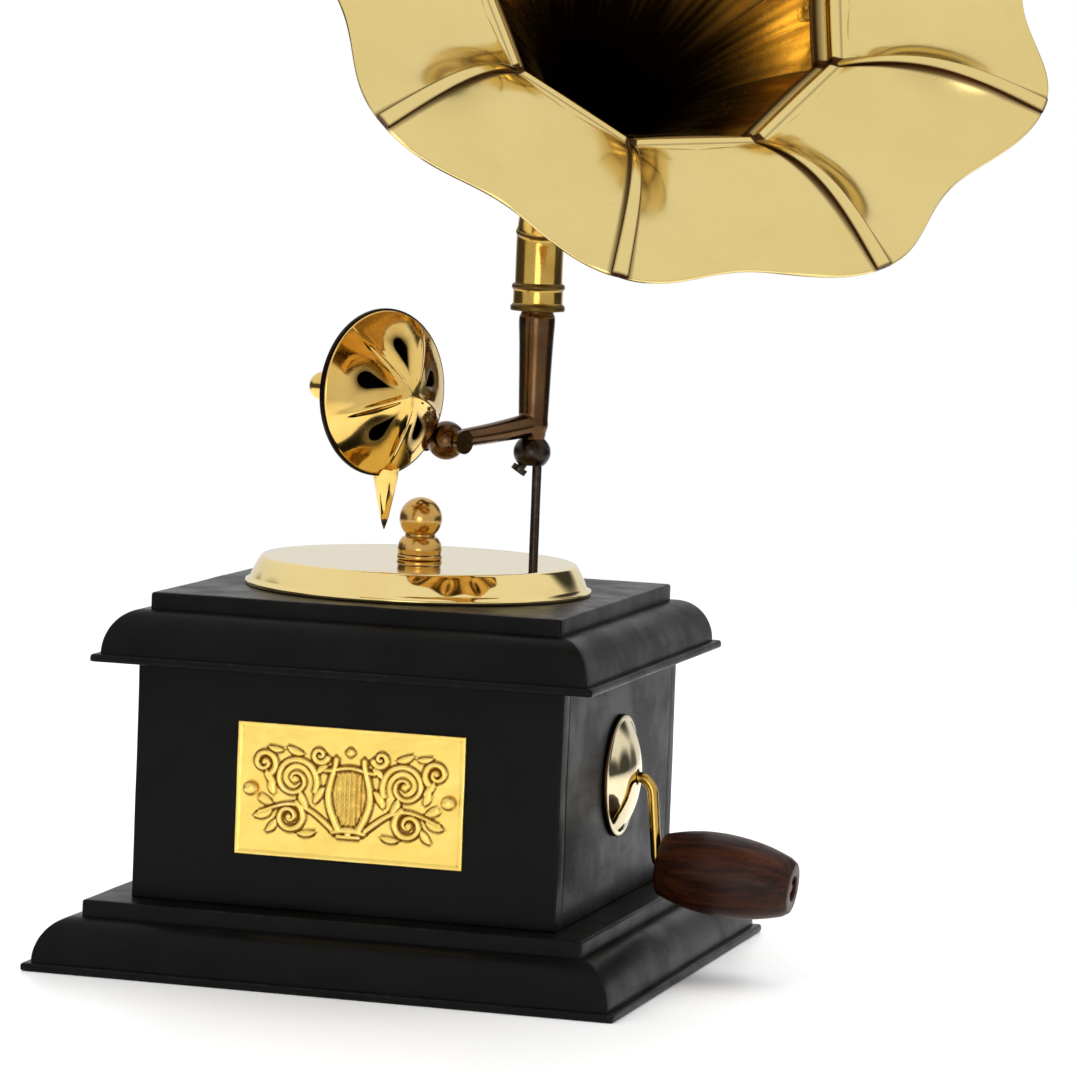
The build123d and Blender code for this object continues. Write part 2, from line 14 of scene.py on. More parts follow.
import bmesh
import bpy
import numpy as np
from mathutils import Matrix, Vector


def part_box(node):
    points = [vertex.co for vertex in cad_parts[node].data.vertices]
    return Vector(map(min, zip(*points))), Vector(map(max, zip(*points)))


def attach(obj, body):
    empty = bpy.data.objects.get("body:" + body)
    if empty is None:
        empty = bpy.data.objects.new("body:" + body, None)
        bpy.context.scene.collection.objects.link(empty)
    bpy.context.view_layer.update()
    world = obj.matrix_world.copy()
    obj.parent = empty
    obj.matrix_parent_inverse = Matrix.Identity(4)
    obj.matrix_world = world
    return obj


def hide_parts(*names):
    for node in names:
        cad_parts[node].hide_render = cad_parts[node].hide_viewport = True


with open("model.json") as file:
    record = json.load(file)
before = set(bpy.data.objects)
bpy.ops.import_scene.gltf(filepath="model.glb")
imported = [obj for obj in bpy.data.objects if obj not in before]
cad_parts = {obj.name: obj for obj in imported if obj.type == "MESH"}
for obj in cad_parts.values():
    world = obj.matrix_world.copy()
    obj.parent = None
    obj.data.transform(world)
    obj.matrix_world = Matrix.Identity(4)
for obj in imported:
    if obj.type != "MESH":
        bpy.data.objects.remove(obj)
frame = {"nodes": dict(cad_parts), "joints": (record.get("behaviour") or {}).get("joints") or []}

Array = np.ndarray
Colour = tuple[float, float, float, float]
Socket = bpy.types.NodeSocket

MM = 0.001
TAU = 2 * np.pi
MERGE_MM = 0.002
BEND_FAINT = 0.32
BEND_FULL = 1.5
CLOUD_SIZE = 150.0

log = logging.getLogger("gramophone")


class Body(Enum):
    """The moving groups of the frame that pieces ride on."""

    BASE = "base"
    CRANK = "crank"
    HANDLE = "handle"
    ARM = "arm"
    SOUND_BOX = "sound_box"
    HORN = "horn"


class Slot(Enum):
    """The record's material slots."""

    BLACK_WOOD = "black_wood"
    BARE_WOOD = "bare_wood"
    POLISHED_BRASS = "polished_brass"
    AGED_BRONZE = "aged_bronze"
    GILT_PLAQUE = "gilt_plaque"
    DARK_STEEL = "dark_steel"
    ZINC_STEEL = "zinc_steel"
    RED_BROWN_WOOD = "red_brown_wood"


class Mark(Enum):
    """Point attributes that tell a finish where it is rubbed, dirty, stained, or darkened with painted shade.
    """

    WEAR = "wear"
    GRIME = "grime"
    STAIN = "stain"


# ---------------------------------------------------------------- geometry


def unit(vector: Sequence[float] | Array) -> Array:
    """Returns the vector scaled to length one."""
    v = np.asarray(vector, float)
    return v / np.linalg.norm(v)


def heading(azimuth: float) -> Array:
    """Returns the level unit vector at an azimuth in degrees, counted from +X towards +Y."""
    a = np.radians(azimuth)
    return np.array([np.cos(a), np.sin(a), 0.0])


def box_mm(node: str) -> tuple[Array, Array]:
    """Lowest and highest corner of a CAD node.

    Args:
        node: the node's name.

    Returns:
        The two corners in millimetres.
    """
    low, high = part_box(node)
    return np.array(low) / MM, np.array(high) / MM


def joint_mm(name: str) -> Array:
    """Returns the place of a joint in millimetres."""
    found = next(j for j in frame["joints"] if j["name"] == name)
    return np.array(found["pos_m"], float) / MM


@dataclass(frozen=True)
class Place:
    """A piece's own frame: its origin and its x, y and z directions in the row frame."""

    origin: Array
    x: Array
    y: Array
    z: Array

    @classmethod
    def facing(cls, origin: Sequence[float] | Array, z_axis: Array, x_axis: Array) -> Place:
        """Builds a right-handed frame.

        Args:
            origin: its origin, in millimetres.
            z_axis: the direction of its z.
            x_axis: a direction that its x follows as nearly as it can.

        Returns:
            The frame, with y = z cross x.
        """
        z = unit(z_axis)
        x = unit(x_axis - z * np.dot(x_axis, z))
        return cls(np.asarray(origin, float), x, np.cross(z, x), z)

    @classmethod
    def level(cls, origin: Sequence[float] | Array) -> Place:
        """Returns a frame with the row frame's own directions."""
        return cls(np.asarray(origin, float), *np.eye(3))

    def out(self, local: Array) -> Array:
        """Turns local points (..., 3) into row-frame points: origin + x*X + y*Y + z*Z."""
        return self.origin + local @ np.stack([self.x, self.y, self.z])


def rounded(corners: Array, radii: Sequence[float] | float, steps: int = 5, closed: bool = False) -> Array:
    """Rounds the corners of a polyline.

    Each corner P becomes a quadratic arc (1-t)^2 A + 2t(1-t) P + t^2 B, where A and B lie on the
    two runs at the corner's radius from P.

    Args:
        corners: points (k, d).
        radii: how far each arc reaches along its runs, one value or one per corner.
        steps: points on each arc.
        closed: whether the last point joins the first.

    Returns:
        Points (k * steps, d).
    """
    corners = np.asarray(corners, float)
    reach = np.broadcast_to(np.asarray(radii, float), len(corners)).copy()
    back = np.roll(corners, 1, axis=0) - corners
    fore = np.roll(corners, -1, axis=0) - corners
    if not closed:
        reach[[0, -1]] = 0.0
    back_l = np.maximum(np.linalg.norm(back, axis=1), 1e-9)
    fore_l = np.maximum(np.linalg.norm(fore, axis=1), 1e-9)
    reach = np.minimum(reach, 0.499 * np.minimum(back_l, fore_l))
    if not closed:
        reach[[0, -1]] = 0.0
    start = (corners + back * (reach / back_l)[:, None])[:, None]
    end = (corners + fore * (reach / fore_l)[:, None])[:, None]
    t = np.linspace(0, 1, steps)[None, :, None]
    arcs = (1 - t) ** 2 * start + 2 * t * (1 - t) * corners[:, None] + t**2 * end
    return arcs.reshape(-1, corners.shape[1])


def arc3(a: Sequence[float], m: Sequence[float], b: Sequence[float], steps: int = 14) -> Array:
    """Points on the circle through three flat points.

    The centre solves |C-a| = |C-m| = |C-b|; the points turn evenly about it from a by m to b.

    Args:
        a: first point.
        m: a point on the way.
        b: last point.
        steps: how many points.

    Returns:
        Points (steps, 2).
    """
    pa, pm, pb = (np.asarray(p, float) for p in (a, m, b))
    centre = np.linalg.solve(2 * np.stack([pm - pa, pb - pa]), [pm @ pm - pa @ pa, pb @ pb - pa @ pa])
    angle_a, angle_m, angle_b = (np.arctan2(*(p - centre)[::-1]) for p in (pa, pm, pb))
    to_m = (angle_m - angle_a) % TAU
    to_b = (angle_b - angle_a) % TAU
    sweep = to_b if to_m <= to_b else to_b - TAU
    turn = angle_a + sweep * np.linspace(0, 1, steps)
    return centre + np.linalg.norm(pa - centre) * np.stack([np.cos(turn), np.sin(turn)], -1)


def turned(profile: Array, place: Place, segments: int = 96) -> Array:
    """A profile (radius, height) carried round the place's z: (r cos a, r sin a, h).

    Args:
        profile: points (k, 2).
        place: the frame it turns about.
        segments: points round the axis.

    Returns:
        A grid (k, segments, 3) that wraps along its second direction.
    """
    turn = np.arange(segments) * TAU / segments
    radius, height = np.asarray(profile, float).T
    x, y = np.outer(radius, np.cos(turn)), np.outer(radius, np.sin(turn))
    local = np.stack([x, y, np.outer(height, np.ones(segments))], -1)
    return place.out(local)


def carried(path: Array, radii: Array | float, side: Array, sides: int = 32) -> Array:
    """A round section carried along a path that lies in one plane, closed at both ends.

    A ring is P + r (cos a * side + sin a * side x T), with T the path's direction at P.

    Args:
        path: points (k, 3).
        radii: the section's radius, one value or one per point.
        side: the unit vector square to the path's plane.
        sides: points round the section.

    Returns:
        A grid (k + 2, sides, 3) that wraps along its second direction.
    """
    radii = np.broadcast_to(np.asarray(radii, float), len(path))
    fresh = np.append(True, np.linalg.norm(np.diff(path, axis=0), axis=1) > 1e-5)
    path, radii = path[fresh], radii[fresh]
    path = np.concatenate([path[:1], path, path[-1:]])
    radii = np.concatenate([[0.0], radii, [0.0]])
    tangent = np.gradient(path, axis=0)
    tangent[0], tangent[1], tangent[-1], tangent[-2] = (
        path[2] - path[1], path[2] - path[1], path[-2] - path[-3], path[-2] - path[-3]
    )
    tangent /= np.linalg.norm(tangent, axis=1)[:, None]
    lift = np.cross(side, tangent)
    turn = np.arange(sides) * TAU / sides
    ring = np.cos(turn)[None, :, None] * side + np.sin(turn)[None, :, None] * lift[:, None]
    return path[:, None] + radii[:, None, None] * ring


def square_loop(half_x: float, half_y: float, corner: float, along: int, around: int) -> tuple[Array, Array]:
    """The outline of a rectangle with rounded corners, and the way that it spreads.

    Corner arcs come from rounded(); the straight runs between them are divided evenly. The
    spread is (+-1, +-1) at the corners and runs evenly between them, so outline + d * spread is
    the outline moved out by d with its mitres kept.

    Args:
        half_x: half its width.
        half_y: half its depth.
        corner: how far each corner arc reaches.
        along: points inside each straight run.
        around: points on each corner.

    Returns:
        The outline (n, 2) and the spread (n, 2).
    """
    signs = np.array([(1, -1), (1, 1), (-1, 1), (-1, -1)], float)
    arcs = rounded(signs * (half_x, half_y), corner, around, closed=True).reshape(4, around, 2)
    t = (np.arange(along) + 1)[None, :, None] / (along + 1)
    runs = arcs[:, -1:] * (1 - t) + np.roll(arcs, -1, axis=0)[:, :1] * t
    after = np.roll(signs, -1, axis=0)[:, None]
    outline = np.concatenate([arcs, runs], axis=1).reshape(-1, 2)
    corners = np.repeat(signs[:, None], around, axis=1)
    spread = np.concatenate([corners, signs[:, None] * (1 - t) + after * t], axis=1).reshape(-1, 2)
    return outline, spread


def framed(
    profile: Array,
    half_x: float,
    half_y: float,
    corner: float,
    place: Place,
    along: int = 24,
    around: int = 5,
) -> Array:
    """A profile (outset, height) carried round a rectangle with its mitres kept.

    Args:
        profile: points (k, 2).
        half_x: half the rectangle's width.
        half_y: half its depth.
        corner: how far its corner arcs reach.
        place: its frame.
        along: points inside each straight run.
        around: points on each corner.

    Returns:
        A grid (k, n, 3) that wraps along its second direction.
    """
    outline, spread = square_loop(half_x, half_y, corner, along, around)
    outset, height = np.asarray(profile, float).T
    flat = outline[None] + outset[:, None, None] * spread[None]
    up = np.broadcast_to(height[:, None, None], flat.shape[:2] + (1,))
    return place.out(np.concatenate([flat, up], -1))


def capped(grid: Array, rows: int = 2) -> Array:
    """Closes both ends of a grid of rings: each end ring shrinks evenly to its own middle.

    Args:
        grid: rings (k, n, 3).
        rows: rings between an end ring and its middle, the middle counted in.

    Returns:
        A grid (k + 2 * rows, n, 3).
    """
    t = (np.arange(rows) / rows)[:, None, None]
    first, last = grid[0].mean(0), grid[-1].mean(0)
    head = first + (grid[0] - first) * t
    tail = last + (grid[-1] - last) * t[::-1]
    return np.concatenate([head, grid, tail])


def ripple(points: Array, wavelength: float, height: float, seed: int) -> Array:
    """Slow unevenness: the mean of nine sine waves in random directions.

    Args:
        points: points (..., 3) in millimetres.
        wavelength: the usual length of a wave.
        height: the usual height of the sum.
        seed: seeds the directions and phases.

    Returns:
        Heights (...).
    """
    rng = np.random.default_rng(seed)
    waves = 9
    ways = rng.normal(size=(waves, 3))
    ways *= (rng.uniform(0.7, 1.5, waves) / np.linalg.norm(ways, axis=1))[:, None]
    phase = rng.uniform(0, TAU, waves)
    return height * np.sin(points @ ways.T * TAU / wavelength + phase).mean(-1) * np.sqrt(waves)


def smoothstep(low: float, high: float, value: Array) -> Array:
    """Returns t^2 (3 - 2t), with t the value's place between low and high, held to 0 and 1."""
    t = np.clip((value - low) / (high - low), 0, 1)
    return t * t * (3 - 2 * t)


class Skin:
    """Quads gathered from parametric patches, which become one mesh."""

    def __init__(self) -> None:
        """Starts with no patches."""
        self.points: list[Array] = []
        self.quads: list[Array] = []
        self.stains_and_shade: list[Array] = []
        self.count = 0

    def patch(
        self, grid: Array, wrap_rows: bool = False, wrap_cols: bool = True, stain: Array | float = 0.0
    ) -> Skin:
        """Adds a grid of points; each cell becomes one quad.

        Args:
            grid: points (rows, cols, 3) in millimetres.
            wrap_rows: whether the last row joins the first.
            wrap_cols: whether the last column joins the first.
            stain: how much each point is darkened by real stains and by painted shade, one value or (rows,
                cols).

        Returns:
            The skin itself.
        """
        rows, cols = grid.shape[:2]
        index = np.arange(rows * cols).reshape(rows, cols) + self.count
        if wrap_rows:
            index = np.vstack([index, index[:1]])
        if wrap_cols:
            index = np.hstack([index, index[:, :1]])
        quads = np.stack([index[:-1, :-1], index[1:, :-1], index[1:, 1:], index[:-1, 1:]], -1)
        self.points.append(grid.reshape(-1, 3))
        self.quads.append(quads.reshape(-1, 4))
        self.stains_and_shade.append(np.broadcast_to(np.asarray(stain, float), (rows, cols)).ravel())
        self.count += rows * cols
        return self

    def mesh(self, name: str, sharp: float, outward: bool = True) -> bpy.types.Mesh:
        """Makes the mesh: doubles merged, faces turned outwards, edges over an angle kept sharp.

        Args:
            name: the mesh's name.
            sharp: the angle in degrees over which an edge is sharp.
            outward: whether the faces are turned outwards by their own neighbours.

        Returns:
            The mesh, with its wear, grime and stain-and-shade marks.
        """
        mesh = bpy.data.meshes.new(name)
        points = np.concatenate(self.points) * MM
        quads = np.concatenate(self.quads)
        mesh.vertices.add(len(points))
        mesh.vertices.foreach_set("co", points.ravel())
        mesh.loops.add(quads.size)
        mesh.loops.foreach_set("vertex_index", quads.ravel())
        mesh.polygons.add(len(quads))
        mesh.polygons.foreach_set("loop_start", np.arange(len(quads)) * 4)
        mesh.polygons.foreach_set("loop_total", np.full(len(quads), 4))
        mesh.update(calc_edges=True)
        stain = mesh.attributes.new(Mark.STAIN.value, "FLOAT", "POINT")
        stain.data.foreach_set("value", np.concatenate(self.stains_and_shade).astype(np.float32))
        work = bmesh.new()
        work.from_mesh(mesh)
        bmesh.ops.remove_doubles(work, verts=work.verts, dist=MERGE_MM * MM)
        bmesh.ops.dissolve_degenerate(work, edges=work.edges, dist=1e-8)
        if outward:
            bmesh.ops.recalc_face_normals(work, faces=work.faces)
        work.to_mesh(mesh)
        work.free()
        mesh.shade_smooth()
        mesh.set_sharp_from_angle(angle=np.radians(sharp))
        mark_bends(mesh)
        return mesh


def mark_bends(mesh: bpy.types.Mesh) -> None:
    """Marks where a mesh bends outwards (wear) and inwards (grime).

    Along an edge the bend is the change of normal dotted with the edge, over the edge's squared
    length; a point takes the mean of its edges. From BEND_FAINT to BEND_FULL, both per
    millimetre, a point goes from unmarked to fully marked.

    Args:
        mesh: the mesh to mark.
    """
    count, edge_count = len(mesh.vertices), len(mesh.edges)
    place, normal = np.zeros(count * 3), np.zeros(count * 3)
    ends = np.zeros(edge_count * 2, np.int64)
    mesh.vertices.foreach_get("co", place)
    mesh.vertices.foreach_get("normal", normal)
    mesh.edges.foreach_get("vertices", ends)
    place, normal, ends = place.reshape(-1, 3), normal.reshape(-1, 3), ends.reshape(-1, 2)
    step = place[ends[:, 1]] - place[ends[:, 0]]
    turn = normal[ends[:, 1]] - normal[ends[:, 0]]
    bend = (turn * step).sum(1) / np.maximum((step * step).sum(1), 1e-14) * MM
    total = np.bincount(ends.ravel(), np.repeat(bend, 2), count)
    share = np.maximum(np.bincount(ends.ravel(), minlength=count), 1)
    mean = total / share
    for mark, value in ((Mark.WEAR, mean), (Mark.GRIME, -mean)):
        layer = mesh.attributes.get(mark.value) or mesh.attributes.new(mark.value, "FLOAT", "POINT")
        layer.data.foreach_set("value", smoothstep(BEND_FAINT, BEND_FULL, value).astype(np.float32))


# ---------------------------------------------------------------- finishes


class Graph:
    """Short calls for wiring one node tree."""

    def __init__(self, tree: bpy.types.NodeTree) -> None:
        """Keeps the tree that is wired."""
        self.tree = tree

    def feed(self, socket: Socket, value: object) -> None:
        """Links a socket to another, or sets its value.

        Args:
            socket: the input.
            value: an output socket, or a plain value.
        """
        if isinstance(value, Socket):
            self.tree.links.new(value, socket)
        else:
            socket.default_value = value

    def node(
        self, kind: str, inputs: dict[str | int, object] | None = None, **settings: object
    ) -> bpy.types.Node:
        """Adds a node.

        Args:
            kind: its type's name.
            inputs: values or sockets for its inputs, by name or number.
            settings: its other settings.

        Returns:
            The node.
        """
        made = self.tree.nodes.new(kind)
        for name, value in settings.items():
            setattr(made, name, value)
        for key, value in (inputs or {}).items():
            self.feed(made.inputs[key], value)
        return made

    def maths(
        self, operation: str, a: object, b: object = 0.0, c: object = 0.0, clamp: bool = False
    ) -> Socket:
        """Returns the output of a Math node on up to three values or sockets."""
        made = self.node("ShaderNodeMath", {0: a, 1: b, 2: c}, operation=operation, use_clamp=clamp)
        return made.outputs[0]

    def blend(self, factor: object, a: object, b: object) -> Socket:
        """Returns the colour that goes from a to b with the factor."""
        return self.node("ShaderNodeMix", {0: factor, 6: a, 7: b}, data_type="RGBA").outputs[2]

    def between(
        self, value: object, low: float, high: float, to_low: float = 0.0, to_high: float = 1.0
    ) -> Socket:
        """Returns the value taken smoothly from low..high to to_low..to_high."""
        numbers = {0: value, 1: low, 2: high, 3: to_low, 4: to_high}
        return self.node("ShaderNodeMapRange", numbers, interpolation_type="SMOOTHSTEP").outputs[0]

    def noise(self, at: object, scale: object, detail: float, **extra: float) -> Socket:
        """Returns a noise texture's value; extra inputs, such as Roughness, go by their names."""
        inputs = {"Vector": at, "Scale": scale, "Detail": detail} | extra
        return self.node("ShaderNodeTexNoise", inputs).outputs[0]

    def dent(
        self, shader: bpy.types.Node, height: object, strength: float, depth: float, invert: bool = False
    ) -> None:
        """Bumps a shader's normal.

        Args:
            shader: the shader.
            height: the height's socket.
            strength: how strongly it bumps.
            depth: what a height of one stands for, in metres.
            invert: whether a high value is low.
        """
        inputs = {"Height": height, "Strength": strength, "Distance": depth}
        self.feed(shader.inputs["Normal"], self.node("ShaderNodeBump", inputs, invert=invert).outputs[0])


def cleared(owner: bpy.types.Material | bpy.types.World) -> Graph:
    """Gives a material or world an empty node tree.

    Args:
        owner: the material or world.

    Returns:
        A graph on its tree.
    """
    owner.use_nodes = True
    owner.node_tree.nodes.clear()
    return Graph(owner.node_tree)


class Effects:
    """Node groups that several finishes share. They put out masks and heights only."""

    def __init__(self) -> None:
        """Builds each group once."""
        self.handwork = self._handwork()
        self.marks = self._marks()

    @staticmethod
    def _group(
        name: str, inputs: dict[str, float], outputs: Iterable[str]
    ) -> tuple[Graph, bpy.types.NodeTree]:
        """Starts a node group.

        Args:
            name: its name.
            inputs: its number inputs and their defaults.
            outputs: its number outputs.

        Returns:
            A graph on its tree, and the tree.
        """
        tree = bpy.data.node_groups.new(name, "ShaderNodeTree")
        for label, default in inputs.items():
            socket = tree.interface.new_socket(label, in_out="INPUT", socket_type="NodeSocketFloat")
            socket.default_value = default
        for label in outputs:
            tree.interface.new_socket(label, in_out="OUTPUT", socket_type="NodeSocketFloat")
        return Graph(tree), tree

    def _handwork(self) -> bpy.types.NodeTree:
        """Wires cloudy tone, pin specks and fine rubbing lines, as masks from 0 to 1.

        Returns:
            The group's tree.
        """
        g, tree = self._group("handwork", {"Size": CLOUD_SIZE, "Lines": 900.0}, ("Cloud", "Specks", "Lines"))
        given = g.node("NodeGroupInput").outputs
        at = g.node("ShaderNodeTexCoord").outputs["Object"]
        cloud = g.noise(at, given["Size"], 4.0, Roughness=0.6)
        speck = g.noise(at, g.maths("MULTIPLY", given["Size"], 16.0), 1.0)
        lines = []
        for angles in ((0.4, 0.2, 0.9), (1.1, 0.7, 2.3)):
            stretch = {"Vector": at, "Rotation": angles, "Scale": (1.0, 0.06, 1.0)}
            lined = g.node("ShaderNodeMapping", stretch).outputs[0]
            lines.append(g.between(g.noise(lined, given["Lines"], 2.0), 0.60, 0.72))
        result = {
            "Cloud": g.between(cloud, 0.36, 0.66),
            "Specks": g.between(speck, 0.64, 0.74),
            "Lines": g.maths("MAXIMUM", *lines),
        }
        g.node("NodeGroupOutput", result)
        return tree

    def _marks(self) -> bpy.types.NodeTree:
        """Wires the wear, grime and stain-and-shade attributes, broken up by noise; the last carries painted
        shade as well as real stains.

        Returns:
            The group's tree.
        """
        g, tree = self._group("marks", {"Size": 700.0}, ("Worn", "Dirty", "StainAndShade"))
        given = g.node("NodeGroupInput").outputs
        patchy = g.noise(g.node("ShaderNodeTexCoord").outputs["Object"], given["Size"], 3.0)
        # The stain-and-shade mark carries real stains and also painted shade in the throat, along the seams
        # and on the sound box.
        kinds = (("Worn", Mark.WEAR, 0.42), ("Dirty", Mark.GRIME, 0.25), ("StainAndShade", Mark.STAIN, 0.0))
        outputs = {}
        for label, mark, floor in kinds:
            value = g.node("ShaderNodeAttribute", attribute_name=mark.value).outputs["Fac"]
            uneven = g.between(patchy, floor, floor + 0.3, 0.0 if floor else 0.75, 1.0)
            outputs[label] = g.maths("MULTIPLY", value, uneven, clamp=True)
        g.node("NodeGroupOutput", outputs)
        return tree


@dataclass(frozen=True)
class Finish:
    """What every finish has: a name and the record's slot."""

    name: str
    slot: Slot

    def start(
        self, effects: Effects, size: float = CLOUD_SIZE
    ) -> tuple[bpy.types.Material, Graph, bpy.types.Node, dict[str, Socket]]:
        """Makes an empty material with the shared effects in it.

        Args:
            effects: the shared node groups.
            size: the scale of its clouds.

        Returns:
            The material, its graph, its Principled shader and the effects' outputs by name.
        """
        material = bpy.data.materials.new(self.name)
        g = cleared(material)
        shader = g.node("ShaderNodeBsdfPrincipled")
        g.node("ShaderNodeOutputMaterial", {"Surface": shader.outputs[0]})
        hand = g.node("ShaderNodeGroup", node_tree=effects.handwork)
        marks = g.node("ShaderNodeGroup", node_tree=effects.marks)
        g.feed(hand.inputs["Size"], size)
        masks = {s.name: s for node in (hand, marks) for s in node.outputs}
        return material, g, shader, masks


@dataclass(frozen=True)
class Metal(Finish):
    """A polished or aged metal: clouded tone, rubbing lines, dirt in its hollows, and painted shade where the
    stain-and-shade mark is set.
    """

    bright: Colour
    tarnish: Colour
    dirt_and_shade: Colour
    polish: float = 0.1
    clouding: float = 0.35
    size: float = 150.0
    bump: float = 0.03
    scuffs: float = 0.09
    specks: float = 0.15
    stain_and_shade_share: float = 1.0
    worn: Colour | None = None

    def make(self, effects: Effects) -> bpy.types.Material:
        """Wires the metal: base colour from bright to tarnish by cloud, to the dirt-and-shade colour by
        grime, real stains and painted shade.

        Args:
            effects: the shared node groups.

        Returns:
            The material.
        """
        material, g, shader, m = self.start(effects, self.size)
        tone = g.blend(g.maths("MULTIPLY", m["Cloud"], self.clouding), self.bright, self.tarnish)
        speckled = g.blend(g.maths("MULTIPLY", m["Specks"], self.specks), tone, self.dirt_and_shade)
        if self.worn:
            speckled = g.blend(g.maths("MULTIPLY", m["Worn"], 0.8), speckled, self.worn)
        # Grime and the stain-and-shade mark darken the colour: real dirt and stains together with painted
        # shade.
        dirt_and_shade_mask = g.maths("MAXIMUM", m["Dirty"], g.maths("MULTIPLY", m["StainAndShade"], self.stain_and_shade_share))
        g.feed(shader.inputs["Base Color"], g.blend(dirt_and_shade_mask, speckled, self.dirt_and_shade))
        rough = g.maths("MULTIPLY_ADD", m["Cloud"], 0.06, self.polish)
        scuffed = g.maths("MULTIPLY_ADD", m["Lines"], self.scuffs, rough)
        g.feed(shader.inputs["Roughness"], g.maths("MULTIPLY_ADD", dirt_and_shade_mask, 0.3, scuffed))
        shader.inputs["Metallic"].default_value = 1.0
        height = g.maths("SUBTRACT", m["Cloud"], g.maths("MULTIPLY", m["Lines"], 6 * self.scuffs))
        g.dent(shader, height, self.bump, 0.0004)
        return material


@dataclass(frozen=True)
class Paint(Finish):
    """Satin paint brushed over wood: grain shows through, corners are rubbed thin, their lighter colour
    partly a painted highlight.
    """

    colour: Colour
    rubbed: Colour
    dust: Colour
    gloss: float = 0.30
    shine: float = 0.08

    def make(self, effects: Effects) -> bpy.types.Material:
        """Wires the paint: a dark base, lighter rubbed edges that partly stand for painted highlights, dust
        in hollows, and grain from stretched noise.

        Args:
            effects: the shared node groups.

        Returns:
            The material.
        """
        material, g, shader, m = self.start(effects, size=90.0)
        at = g.node("ShaderNodeTexCoord").outputs["Object"]
        stretched = g.node("ShaderNodeMapping", {"Vector": at, "Scale": (0.12, 0.12, 1.0)}).outputs[0]
        grain = g.noise(stretched, 1400.0, 3.0)
        brush = g.noise(stretched, 420.0, 2.0)
        tone = g.blend(g.maths("MULTIPLY", m["Cloud"], 0.4), self.colour, self.dust)
        # Lighter edges: partly real wear and partly a painted highlight along the edges.
        rubbed = g.blend(g.maths("MULTIPLY", m["Worn"], 0.55), tone, self.rubbed)
        specks = g.maths("MULTIPLY", m["Specks"], 0.35)
        dusty = g.maths("MAXIMUM", g.maths("MULTIPLY", m["Dirty"], 0.5), specks)
        g.feed(shader.inputs["Base Color"], g.blend(dusty, rubbed, self.dust))
        rough = g.maths("MULTIPLY_ADD", m["Cloud"], 0.12, self.gloss)
        g.feed(shader.inputs["Roughness"], g.maths("MULTIPLY_ADD", m["Lines"], 0.03, rough))
        g.dent(shader, g.maths("MULTIPLY_ADD", brush, 2.0, grain), 0.03, 0.0005)
        shader.inputs["Specular IOR Level"].default_value = self.shine
        return material


@dataclass(frozen=True)
class Wood(Finish):
    """Stained wood: long streaks of grain, fine pores, a varnish over it."""

    light: Colour
    dark: Colour
    gloss: float
    varnish: float
    along: tuple[float, float, float] = (0.06, 1.0, 1.0)
    tilt: float = 0.0

    def make(self, effects: Effects) -> bpy.types.Material:
        """Wires the wood: noise stretched along the grain gives streaks, a finer one the pores.

        Args:
            effects: the shared node groups.

        Returns:
            The material.
        """
        material, g, shader, m = self.start(effects)
        at = g.node("ShaderNodeTexCoord").outputs["Object"]
        stretch = {"Vector": at, "Rotation": (0.0, self.tilt, 0.0), "Scale": self.along}
        lined = g.node("ShaderNodeMapping", stretch).outputs[0]
        streaks = g.noise(lined, 420.0, 5.0, Roughness=0.65, Distortion=0.4)
        pored = g.between(g.noise(lined, 2600.0, 2.0), 0.56, 0.68)
        tone = g.blend(g.between(streaks, 0.35, 0.68), self.dark, self.light)
        deep = g.blend(g.maths("MULTIPLY", pored, 0.7), tone, self.dark)
        rubbed = g.blend(g.maths("MULTIPLY", m["Worn"], 0.35), deep, self.light)
        g.feed(shader.inputs["Base Color"], rubbed)
        g.feed(shader.inputs["Roughness"], g.maths("MULTIPLY_ADD", m["Cloud"], 0.12, self.gloss))
        shader.inputs["Specular IOR Level"].default_value = 0.12
        shader.inputs["Coat Weight"].default_value = self.varnish
        shader.inputs["Coat Roughness"].default_value = 0.24
        g.dent(shader, pored, 0.25, 0.0002, invert=True)
        return material


